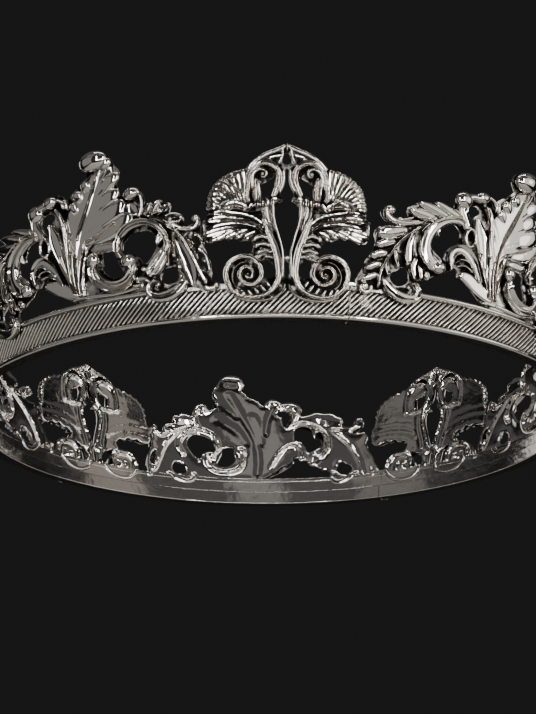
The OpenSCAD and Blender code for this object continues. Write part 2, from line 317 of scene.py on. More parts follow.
def spray(root, tip, count, lift):
    """Fan of petals: each is a strap from its share of the root line to the same share of
    the tip line, widening on the way and bending a little back towards the fan's middle.
    Every other petal stands an eighth higher."""
    share = (np.arange(count) + 0.5) / count
    starts, ends = spaced(root, share), spaced(tip, share)
    half = np.hypot(*np.abs(np.gradient(ends[:, :2], axis=0)).T) * 0.56
    stations = ((0, .45, .7), (.3, .62, .95), (.65, .9, 1), (.9, 1.05, .85), (1, .9, .65))
    petals = []
    for i, (a, b) in enumerate(zip(starts, ends)):
        reach = b[:2] - a[:2]
        bend = np.array([-reach[1], reach[0]]) * 0.07 * (share[i] - 0.1)
        rise = lift * (1.0 + 0.12 * (i % 2))
        rows = [(*(a[:2] + reach * s + bend * 4 * s * (1 - s)), half[i] * wide, rise * tall)
                for s, wide, tall in stations]
        petals.append(strap("petal", .5, 1, *rows))
    return petals


def leaf(left, middle, right, rise, vein):
    """Broad leaf: rows run from the left margin over the midrib to the right margin. The
    blade swells from its margins, a ridge follows the midrib, and creases run out from the
    midrib towards the tip, where 7 q - 1.5 |t| is whole, with a soft ripple between."""
    q = np.linspace(0, 1, 130)
    t = np.linspace(-1, 1, 57)
    line_l, line_m, line_r = (spaced(rows, q)[:, :2] for rows in (left, middle, right))
    edge = np.where(t[None, :, None] < 0, line_l[:, None], line_r[:, None])
    front = np.empty((len(q), len(t), 3))
    front[..., :2] = line_m[:, None] + (edge - line_m[:, None]) * np.abs(t)[None, :, None]
    blade = 0.5 + 0.45 * np.cos(np.pi * t / 2) ** 0.8
    spine = vein * (np.exp(-((np.abs(t) - .045) / .03) ** 2))
    turns = 7 * q[:, None] - 1.5 * np.abs(t)
    away = np.abs(turns - np.round(turns))
    crease = np.exp(-(away / 0.09) ** 2) * np.clip(np.abs(t) * 4 - 0.6, 0, 1)
    ripple = 0.055 * np.abs(t) * np.cos(2 * np.pi * turns) - 0.1 * crease
    # the blade is a quarter lower at its foot and tip, where both end rows meet the plate
    fall = np.clip(0.75 + 3 * np.minimum(q, 1 - q), 0, 1)[:, None]
    front[..., 2] = RELIEF_W + rise * ((blade + spine)[None] + ripple) * fall
    front[:, [0, -1], 2] = RELIEF_W + 0.25
    # darkened beside the midrib, in the creases and on the back: oxide and painted shade
    beside_rib = np.clip(1.1 * np.exp(-((np.abs(t) - .11) / .03) ** 2), 0.02, 0.9)
    shade = np.maximum(beside_rib[None], 0.75 * crease)
    back = front[:, ::-1].copy()
    back[..., 2] = RELIEF_W - 0.3
    return skin(np.concatenate([front, back], 1),
                np.concatenate([shade, np.full(shade.shape, 0.6)], 1))


def behind(surface, at):
    """The surface turned over to stand out of the back instead, from depth at inwards."""
    points, quads, tris, shade = surface
    turned = points.copy()
    turned[:, 2] = at - (points[:, 2] - RELIEF_W)
    # the turned-over straps keep three tenths of their oxide and painted shade
    return turned, quads[:, ::-1], tris[:, ::-1], shade * 0.3


def settle_oxide_and_shade(surface, cell=0.45, reach=4):
    """Oxide and painted shade gather where a point lies under the relief round it, the way an
    occluded hollow goes dark: the highest point in each small cell of the drawing is averaged with
    a triangle weight over its neighbours, and the depth under that average adds to what the
    cross-section gives. Backs keep their own."""
    points, quads, tris, shade = surface
    low = points[:, :2].min(0) - (reach + 1) * cell
    at = ((points[:, :2] - low) / cell).astype(int)
    top = np.zeros(at.max(0) + reach + 2)
    np.maximum.at(top, (at[:, 0], at[:, 1]), points[:, 2])
    weight = 1 - np.abs(np.arange(-reach, reach + 1)) / (reach + 1)
    weight /= weight.sum()
    for axis in (0, 1):
        top = np.apply_along_axis(np.convolve, axis, top, weight, "same")
    # 0.75 mm under its neighbours is as deep as the relief gets
    depth = np.clip((top[at[:, 0], at[:, 1]] - points[:, 2]) / 0.75, -0.4, 1)
    # depth under the neighbours adds painted occlusion shade to the oxide of the cross-section
    settled = np.clip(0.45 * shade + 0.6 * depth, 0, 1)
    return points, quads, tris, np.where(points[:, 2] < -0.05, shade, settled)


# ---------------------------------------------------------------- pierced plates
def edge_distance(points, starts, ends):
    """Distance from each point to the nearest of the straight edges."""
    run = ends - starts
    size = np.maximum((run ** 2).sum(1), 1e-12)
    gap = points[:, None] - starts[None]
    share = np.clip((gap * run).sum(2) / size, 0, 1)
    return np.sqrt(((gap - share[..., None] * run) ** 2).sum(2)).min(1)


def inside(points, starts, ends):
    """Even-odd test: a point is inside when a line to its right crosses an odd number of
    edges."""
    x, y = points[:, :1], points[:, 1:]
    above_a, above_b = starts[:, 1] > y, ends[:, 1] > y
    rise = np.where(ends[:, 1] == starts[:, 1], 1, ends[:, 1] - starts[:, 1])
    cross = starts[:, 0] + (y - starts[:, 1]) / rise * (ends[:, 0] - starts[:, 0])
    return ((above_a != above_b) & (x < cross)).sum(1) % 2 == 1


def soft_ridges(flat, ridges, both_sides):
    """Height of soft ridges over flat points: each follows a smooth line, and falls off as a
    bell of the distance to it over the ridge's half width. The highest ridge counts."""
    height = np.zeros(len(flat))
    for half, lift, *rows in ridges:
        line = smooth_line(filled(rows, half, lift), 0.5)
        for side in ((1, -1) if both_sides else (1,)):
            gap = np.hypot(flat[:, :1] - side * line[:, 0], flat[:, 1:] - line[:, 1])
            near = gap.argmin(1)
            share = gap[np.arange(len(flat)), near] / line[near, 2]
            height = np.maximum(height, line[near, 3] * np.exp(-1.1 * share ** 2))
    return height


def sheet_points(rim, starts, ends, spacing=0.5, inset=0.22):
    """Points of a flat sheet: its edges, a row set in from them on both sides of each edge's
    middle, and a grid of staggered rows over the rest."""
    def kept(points, clear):
        points = points[inside(points, starts, ends)]
        return points[edge_distance(points, starts, ends) > clear]

    low, high = rim.min(0), rim.max(0)
    gu, gv = np.meshgrid(np.arange(low[0], high[0], spacing),
                         np.arange(low[1], high[1], spacing * 0.87))
    gu = gu + spacing / 2 * (np.arange(len(gu)) % 2)[:, None]
    run = ends - starts
    normal = np.stack([-run[:, 1], run[:, 0]], -1)
    normal /= np.linalg.norm(normal, axis=1)[:, None] + 1e-12
    middle = (starts + ends) / 2
    rows = np.concatenate([middle + normal * inset, middle - normal * inset])
    grid = np.stack([gu.ravel(), gv.ravel()], -1)
    return np.concatenate([rim, kept(rows, 0.18), kept(grid, 0.42)])


def flat_sheet(edge, holes):
    """Points and triangles of the sheet inside the edge and outside the holes, all smooth
    closed lines, with each point's distance from the nearest of them."""
    loops = [closed_line(rows) for rows in (edge, *holes)]
    rim = np.concatenate(loops)
    firsts = np.cumsum([0] + [len(loop) for loop in loops])
    nexts = np.concatenate([np.roll(np.arange(len(loop)), -1) + first
                            for loop, first in zip(loops, firsts)])
    starts, ends = rim, rim[nexts]
    flat = sheet_points(rim, starts, ends)
    pairs = [(int(a), int(b)) for a, b in enumerate(nexts)]
    made = delaunay_2d_cdt([tuple(p) for p in flat], pairs, [], 0, 1e-6)
    flat = np.array([tuple(p) for p in made[0]])
    tris = np.array([face for face in made[2] if len(face) == 3])
    tris = tris[inside(flat[tris].mean(1), starts, ends)]
    a, b, c = (flat[tris[:, i]] for i in range(3))
    turn = (b - a)[:, 0] * (c - a)[:, 1] - (b - a)[:, 1] * (c - a)[:, 0]
    tris = np.where(turn[:, None] > 0, tris, tris[:, ::-1])
    return flat, tris, edge_distance(flat, starts, ends)


def crest_plate(edge, holes, back, ridges, both_sides, hollow=0.3):
    """Pierced plate that carries the relief. The front rises a little away from its edges.
    The back is rounded and stands full at the edges, and sinks to a smooth hollow away from
    them, with soft ridges behind the relief's main lines."""
    flat, tris, depth = flat_sheet(edge, holes)
    sink = 1 - np.exp(-np.maximum(depth - 0.2, 0) / 1.1)
    rounding = 0.16 * np.clip(1 - depth / 0.4, 0, 1) ** 2
    raised = soft_ridges(flat, ridges, both_sides) * (1 - np.exp(-depth / 0.25))
    front = np.column_stack([flat, 0.05 + 0.3 * sink])
    rear = np.column_stack([flat, -back + rounding + hollow * sink - raised])
    # a side of only one triangle is an edge of the sheet, and gets a wall to the back
    count = len(flat)
    sides = np.concatenate([tris[:, [0, 1]], tris[:, [1, 2]], tris[:, [2, 0]]])
    key = np.sort(sides, 1) @ (count, 1)
    _, where, repeats = np.unique(key, return_index=True, return_counts=True)
    bare = sides[where[repeats == 1]]
    wall = np.stack([bare[:, 1], bare[:, 0], bare[:, 0] + count, bare[:, 1] + count], -1)
    points = np.concatenate([front, rear])
    # the plate's face between the relief is darkened with oxide and painted shade, and its back
    # only a little
    shade = np.concatenate([np.full(count, 0.8), 0.02 + 0.06 * sink])
    quads, tris = outward(points, wall, np.concatenate([tris, tris[:, ::-1] + count]))
    return points, quads, tris, shade


# ---------------------------------------------------------------- shell crest relief
# Edges and holes are closed lines of u, v. Straps are (cross-section, half width, height,
# rows of u, v and now and then their own half width and height).
SHELL_EDGE_HALF = (
    (0, 39.7), (1.2, 39), (2.5, 38.3), (4.4, 37.5), (6, 36.4), (7.2, 35.4), (8.4, 34),
    (9.6, 33.9), (10.3, 33.1), (11.2, 33.5), (12.1, 32.6), (13.1, 32.6), (13.8, 31.6),
    (14.7, 31.4), (15.2, 30.4), (15.9, 30), (16.1, 29), (16.7, 28.4), (16.6, 27.4), (17, 26.6),
    (16.8, 25.6), (17.1, 24.6), (17.2, 23.2), (17.9, 22.2), (18, 20.6), (17.8, 18.4),
    (16.9, 17.4), (15.2, 17.6), (13.8, 18.3), (12.5, 17.9), (11.2, 18.4), (9.9, 17.4),
    (8.4, 17.6), (7.4, 16.2), (7.7, 15), (8.4, 14.3), (10.3, 14.1), (12.2, 13.1), (13.3, 11.5),
    (13.7, 9.4), (13.5, 7.4), (12.6, 5.7), (11, 4.3), (8.2, 3.5), (5.2, 3.5), (2.8, 4.1),
    (1.2, 5.2), (0, 6.2))
KEYHOLE_HALF = (
    (0, 34), (.45, 33.2), (.45, 31), (.9, 29.2), (1.5, 27.8), (1, 26.6), (2.1, 25.4),
    (2.6, 23.4), (2.1, 20.4), (1.2, 17.2), (.6, 15), (0, 14))
CAP_HOLE_HALF = ((0, 37.6), (.8, 36.6), (.9, 35.4), (0, 34.8))
SLOT_HALF = ((0, 12.6), (.4, 12.2), (.5, 10.6), (.4, 9.2), (0, 8.8))
SHELL_SIDE_HOLES = (
    ((2.5, 32), (3.8, 31.2), (5.6, 29.9), (5.7, 28), (5, 27), (3.5, 27.3), (2.9, 28.6),
     (2.7, 30.4)),
    ((2.4, 9.6), (2.6, 11.2), (3.6, 12.6), (5.8, 13.7), (5.4, 12), (5.2, 10.2), (5.4, 9),
     (3.8, 8.8)),
    ((3.4, 36.3), (4.8, 36.3), (6, 35.3), (4.6, 35.6), (3, 35), (2.4, 34.3), (2.3, 35.2)))
SHELL_HALF_STRAPS = (
    # pointed cap and the little star under it
    ("round", .5, 1.6, (0, 39.2, .45), (1.3, 38.5, .6), (2.8, 37.8), (4.6, 37), (6.1, 35.9, .65),
     (7.2, 34.8, .7), (8.3, 33.4, .7, 1)),
    ("round", .35, .9, (.9, 39), (.95, 37.4), (1.3, 36), (1.8, 34.8)),
    ("petal", .4, 1, (.6, 36.7), (2.2, 36.5), (4.2, 36)),
    # C-scroll round the upper opening, with its inner curl
    ("fluted", .7, 1.5, (3, 27.2, .6, 1.3), (2.5, 28.3), (1.9, 29.8), (1.6, 31.5, .75, 1.6),
     (1.9, 33.2), (2.9, 34.4), (4.6, 35, .75, 1.7), (6.2, 34.4), (7.4, 33.2), (8, 31.6, .8, 1.5),
     (8.3, 29.5), (8.4, 27.5), (8.2, 26, .6, 1.2)),
    ("round", .5, 1.6, (7.2, 29, .5, 1.4), (7.3, 31.2, .55, 1.6), (6.8, 32.8),
     (5.6, 33.6, .5, 1.8), (4.5, 33.2), (4.3, 32.2, .4), (5, 31.7), (5.5, 32.2, .25)),
    ("veined", .9, 1.2, (6.4, 26.2, .8), (6.4, 28.5, 1), (6.6, 30.8, .9), (6.3, 31.8, .5)),
    ("petal", .6, 1.5, (3.6, 26.3), (2.2, 26.5, .6), (.9, 26.4, .1)),
    # cuff of small petals under the opening
    ("petal", .55, 1.6, (4.2, 24.8), (4.2, 27.3)), ("petal", .55, 1.6, (5.3, 24.8), (5.3, 26.8)),
    ("petal", .55, 1.6, (3.2, 25), (2.9, 26.9)), ("petal", .55, 1.6, (6.4, 24.8), (6.4, 26.4)),
    ("round", .35, 1.2, (.75, 33.6), (.65, 31.5), (1, 29.8), (1.7, 28.2)),
    # second tier over the foot of the fan, curling at its end
    ("petal", 1.1, 1.7, (8.2, 24.3, .7), (9.8, 25.3, 1.1), (11.8, 25.5, 1.1), (13.3, 24.8, .6)),
    ("round", .35, 2.1, (11.6, 26.4), (13.3, 26.1), (14.1, 25), (13.6, 24), (12.7, 24.2)),
    ("petal", .6, 1.6, (7, 25.8), (7.9, 24.6), (8.8, 23.6, .4)),
    ("ridge", .5, 1.5, (4.6, 24.4), (6.2, 23.9), (7.8, 23.9), (9.6, 24.1, .3)),
    # sweeping leaf bands, spreading from the stem to the right edge
    ("petal", .7, 1.4, (4.6, 20, .35), (6.4, 21.9, .5), (8.8, 23, .6), (11.6, 23.5, .7),
     (14, 23.9, .8), (16.9, 23.6, .12)),
    ("petal", .7, 1.8, (4.7, 19.4, .35), (6.8, 21.1, .5), (9.4, 21.9, .65), (12.2, 22.3, .75),
     (14.6, 22.4, .95), (18.1, 21.9, .12)),
    ("petal", .7, 1.5, (4.9, 18.9, .35), (7, 20.2, .5), (9.8, 20.9, .6), (12.4, 20.9, .8),
     (14.6, 20.6, .8), (16.8, 20.1, .12)),
    ("round", .3, 2.2, (4.4, 18.6), (6.4, 20.7), (9, 21.5), (12, 21.8), (14, 21.7),
     (16.2, 21.4, .12)),
    ("petal", .7, 1.8, (8.6, 20, .4), (11.4, 20.1, .6), (14.2, 19.7, .85), (16.2, 19.2, .9),
     (18, 18.6, .12)),
    ("petal", .7, 1.5, (12.4, 19.3, .5), (13.8, 18.8, .8), (15.2, 18.2, .8), (16.6, 17.5, .15)),
    ("petal", .85, 1.5, (10.2, 19.8, .5), (12, 19, .85), (13.6, 18.3, .6)),
    ("petal", .85, 1.5, (8, 19.6, .5), (9.8, 18.9, .85), (11.2, 18, .6)),
    ("petal", .75, 1.5, (6.4, 19.2, .4), (8, 18.4, .75), (9.2, 17.5, .5)),
    # stems along the keyhole, running down into the volute
    ("round", .35, 1.4, (2.9, 25.6), (2.9, 23.5), (2.6, 21.5), (2.1, 19.5), (1.4, 17),
     (.95, 14.8), (.85, 12.5), (.95, 10.5), (1.1, 8.6)),
    ("veined", 1.1, .8, (4.2, 26, 1.2), (4.3, 24, 1.2), (3.8, 21.5, 1), (3, 19, .6)),
    ("groove", .7, 2, (5.2, 22.5, .5), (4.2, 20, .7), (3.4, 17.6, .85), (2.6, 15.4, .9),
     (2.1, 13.4, .85), (1.8, 11.4, .75), (1.75, 9.4, .7), (2.2, 7.5), (3.4, 5.8), (5.4, 4.7),
     (7.8, 4.4, .65), (10.2, 4.9), (12, 6.3), (13, 8.3), (13.1, 10.4), (12.2, 12.3),
     (10.5, 13.4), (8.6, 13.6, .6), (6.9, 12.8), (5.8, 11.2), (5.5, 9.4, .55), (6.2, 7.9),
     (7.7, 7.2), (9.3, 7.6, .5), (10.2, 8.9), (10, 10.4), (8.8, 11.2, .45), (7.6, 10.7, .4),
     (7.3, 9.6, .36), (7.9, 8.8, .34), (8.8, 9, .3), (9, 9.8, .24)),
    ("round", .25, 1.7, (8.4, 12.5), (10.2, 12), (11.4, 10.6), (11.8, 8.8), (11.2, 7.1),
     (9.8, 6.1)),
    # frill inside the volute and the leaf at its foot
    ("swell", .78, 2.4, (3.6, 6.4), (4.6, 8.1, .5)),
    ("swell", .78, 2.4, (4.6, 5.4), (5.7, 7.2, .5)),
    ("swell", .78, 2.4, (6, 4.8), (7, 6.6, .5)), ("swell", .78, 2.4, (7.5, 4.5), (8.4, 6.2, .5)),
    ("swell", .78, 2.4, (9, 4.6), (9.8, 6.2, .5)), ("swell", .7, 2.3, (10.5, 5.2), (11, 6.6, .5)),
    ("round", .38, 1.5, (.35, 7.6, .3), (.8, 6.1), (1.8, 4.9), (3.6, 4), (6, 3.6), (8.4, 3.7),
     (10.5, 4.3), (11.6, 5, .3)),
    # frills that step down the stem
    ("swell", .65, 2.2, (3.6, 17.6), (5, 18.2), (6.5, 17.9), (7.4, 16.9)),
    ("swell", .65, 2.2, (3.4, 15.9), (5, 16.5), (6.3, 16.2), (7.1, 15.4)),
    ("swell", .6, 2.2, (2.9, 14.4), (4.4, 15), (5.8, 14.7), (6.7, 14)),
    ("swell", .5, 2, (2.6, 13.1), (3.8, 13.6), (5, 13.4)),
    ("blade", 1.2, .6, (4.2, 18.6, .9), (4.6, 16, 1.2), (5.4, 13.8, 1.2), (7, 13.6, .8)),
)
FAN_ROOT = ((8.6, 26.6), (9.8, 26.3), (11, 26.2), (11.9, 25.8), (12.5, 25.2), (12.8, 24.6))
FAN_TIP = ((8.7, 34), (10.6, 33.7), (12.7, 32.8), (14.7, 31.4), (16.1, 29.6), (16.8, 27.6),
           (17.1, 25.6), (17.2, 24.4))

# ---------------------------------------------------------------- leaf crest relief
LEAF_EDGE = (
    (4.1, 39), (5, 41.2), (7.2, 42.1), (9.4, 41.6), (10.9, 40), (11.6, 38.2), (12.7, 36.8),
    (12.3, 35.2), (11.7, 34.2), (12.1, 32.8), (11.7, 31.3), (13.1, 30.5), (14, 30.4),
    (14.6, 31.7), (16, 32.2), (17.5, 31.4), (18.3, 29.4), (18.6, 28), (20.2, 28.3), (21.6, 28.5),
    (22.4, 27.8), (23.9, 27.4), (23.9, 26.2), (23.6, 25.2), (25.1, 24.8), (26.7, 24),
    (26.7, 22.6), (27.8, 21.9), (28.7, 22.2), (29, 23.5), (29.8, 23.9), (30.4, 22.8), (30.5, 21),
    (30.4, 19.8), (31, 18.4), (31, 16.6), (31.8, 14.8), (32.5, 12.4), (32.6, 10.2), (32.4, 8.7),
    (33.8, 8.2), (34.2, 7), (33.2, 6.2), (30.8, 6.2), (29.4, 7.2), (27.2, 7.6), (25.8, 6.5),
    (23.8, 5.2), (21.4, 4.7), (19.2, 5.2), (17.9, 6.4), (17.6, 8), (14.5, 8), (11, 8), (6, 8),
    (1, 8), (-1.6, 8.6), (-4, 10.3), (-6.4, 12.2), (-9.2, 13.4), (-9, 14.6), (-10.2, 15.2),
    (-11.2, 14.2), (-12.6, 14.3), (-13.6, 12.9), (-15.4, 12.1), (-17, 11.2), (-19.2, 10.6),
    (-19.7, 9.4), (-19, 7.8), (-19.4, 6), (-21.2, 4.8), (-23.6, 5), (-25.6, 6.3), (-27.2, 7.6),
    (-28.8, 7.2), (-30.2, 7.4), (-31.4, 6.2), (-32.8, 6.8), (-33.3, 8.4), (-33.3, 10.2),
    (-32.2, 12), (-31.8, 13.6), (-30.8, 15), (-30, 16.6), (-29.4, 18.4), (-29.9, 20.4),
    (-28.8, 21.9), (-27, 21.8), (-25.2, 22.4), (-27.3, 23.4), (-28.5, 24.9), (-28.2, 26.4),
    (-27, 26.8), (-26, 26), (-25.7, 24.6), (-24.2, 24.1), (-22.4, 25), (-22.6, 27),
    (-20.8, 28.1), (-19.2, 29), (-17.2, 29.1), (-15.4, 29.6), (-13, 28.9), (-11.2, 28.6),
    (-11, 30.4), (-9.8, 32.5), (-8, 33.3), (-6, 32.9), (-4.8, 33.8), (-3.2, 34.4), (-1.8, 33.6),
    (-.8, 32.2), (.4, 33.4), (1.8, 34.4), (3, 34.8), (4, 36), (5, 37.2))
LEAF_HOLES = (
    ((-8.8, 28.6), (-8.3, 30.2), (-6.5, 30.6), (-4.8, 30.2), (-4.5, 29), (-5.8, 28),
     (-6.2, 26.2), (-6.9, 24.9), (-8.2, 25.8)),
    ((-17.4, 20.6), (-17.2, 18.4), (-15, 17.3), (-13.2, 16.7), (-12.4, 18.5), (-11, 20.1),
     (-9.5, 20.6), (-9.4, 22.6), (-9.4, 24.2), (-10.8, 25.2), (-12.6, 25.1), (-14, 24),
     (-14.9, 21.4), (-15.8, 23.2), (-16.9, 22.4)),
    ((-25.8, 10.4), (-25.3, 11.8), (-24.2, 12.3), (-23.2, 13.2), (-22, 13), (-21.3, 11.6),
     (-21.6, 9.8), (-23.2, 8.8), (-24.8, 9)),
    ((12.5, 19.4), (12.3, 17.6), (13, 16.6), (14.8, 16.8), (16.2, 15.6), (17, 14.2),
     (18.4, 14.8), (19.6, 16.4), (20.5, 18.2), (20.2, 20.2), (18.8, 21.6), (16.6, 21.9),
     (14.4, 21.2)),
    ((7.3, 18.2), (7.4, 16.2), (7, 14.4), (8.4, 12.6), (10.4, 11.9), (12.2, 12.5), (11.6, 14.2),
     (10.8, 16), (10.6, 17.8), (9, 18.4)),
    ((21, 9.6), (21.2, 11.2), (22.2, 12.4), (23.4, 12.8), (24.6, 12.4), (25.2, 10.8),
     (24.6, 9.4), (22.8, 8.8)),
    ((29.6, 15.8), (30.8, 15), (31.5, 13.2), (31.6, 11.4), (30.6, 11.4), (29.8, 13.2)),
    ((23.9, 23.8), (25, 24), (26, 23.6), (25.2, 23.1), (24.2, 23.1)))
TALL_LEAF_LEFT = ((.2, 9.5), (-.7, 14), (-1.2, 18), (-1.5, 22), (-1.6, 25.5), (-.8, 28.4),
                  (1, 31), (2.6, 33.2), (4.2, 35), (6, 37))
TALL_LEAF_RIB = ((1.2, 9.2), (.7, 13), (.7, 17), (1.1, 20), (2, 23.5), (3.1, 26), (4.4, 28.5),
                 (5.8, 31.4), (7.2, 34.4), (8.6, 37.6))
TALL_LEAF_RIGHT = ((2.2, 9.5), (2.4, 14), (3, 17.4), (4.4, 20), (7.6, 22.2), (10.4, 25),
                   (11.4, 27.8), (11.2, 30.8), (11.4, 34), (11.2, 37.8))
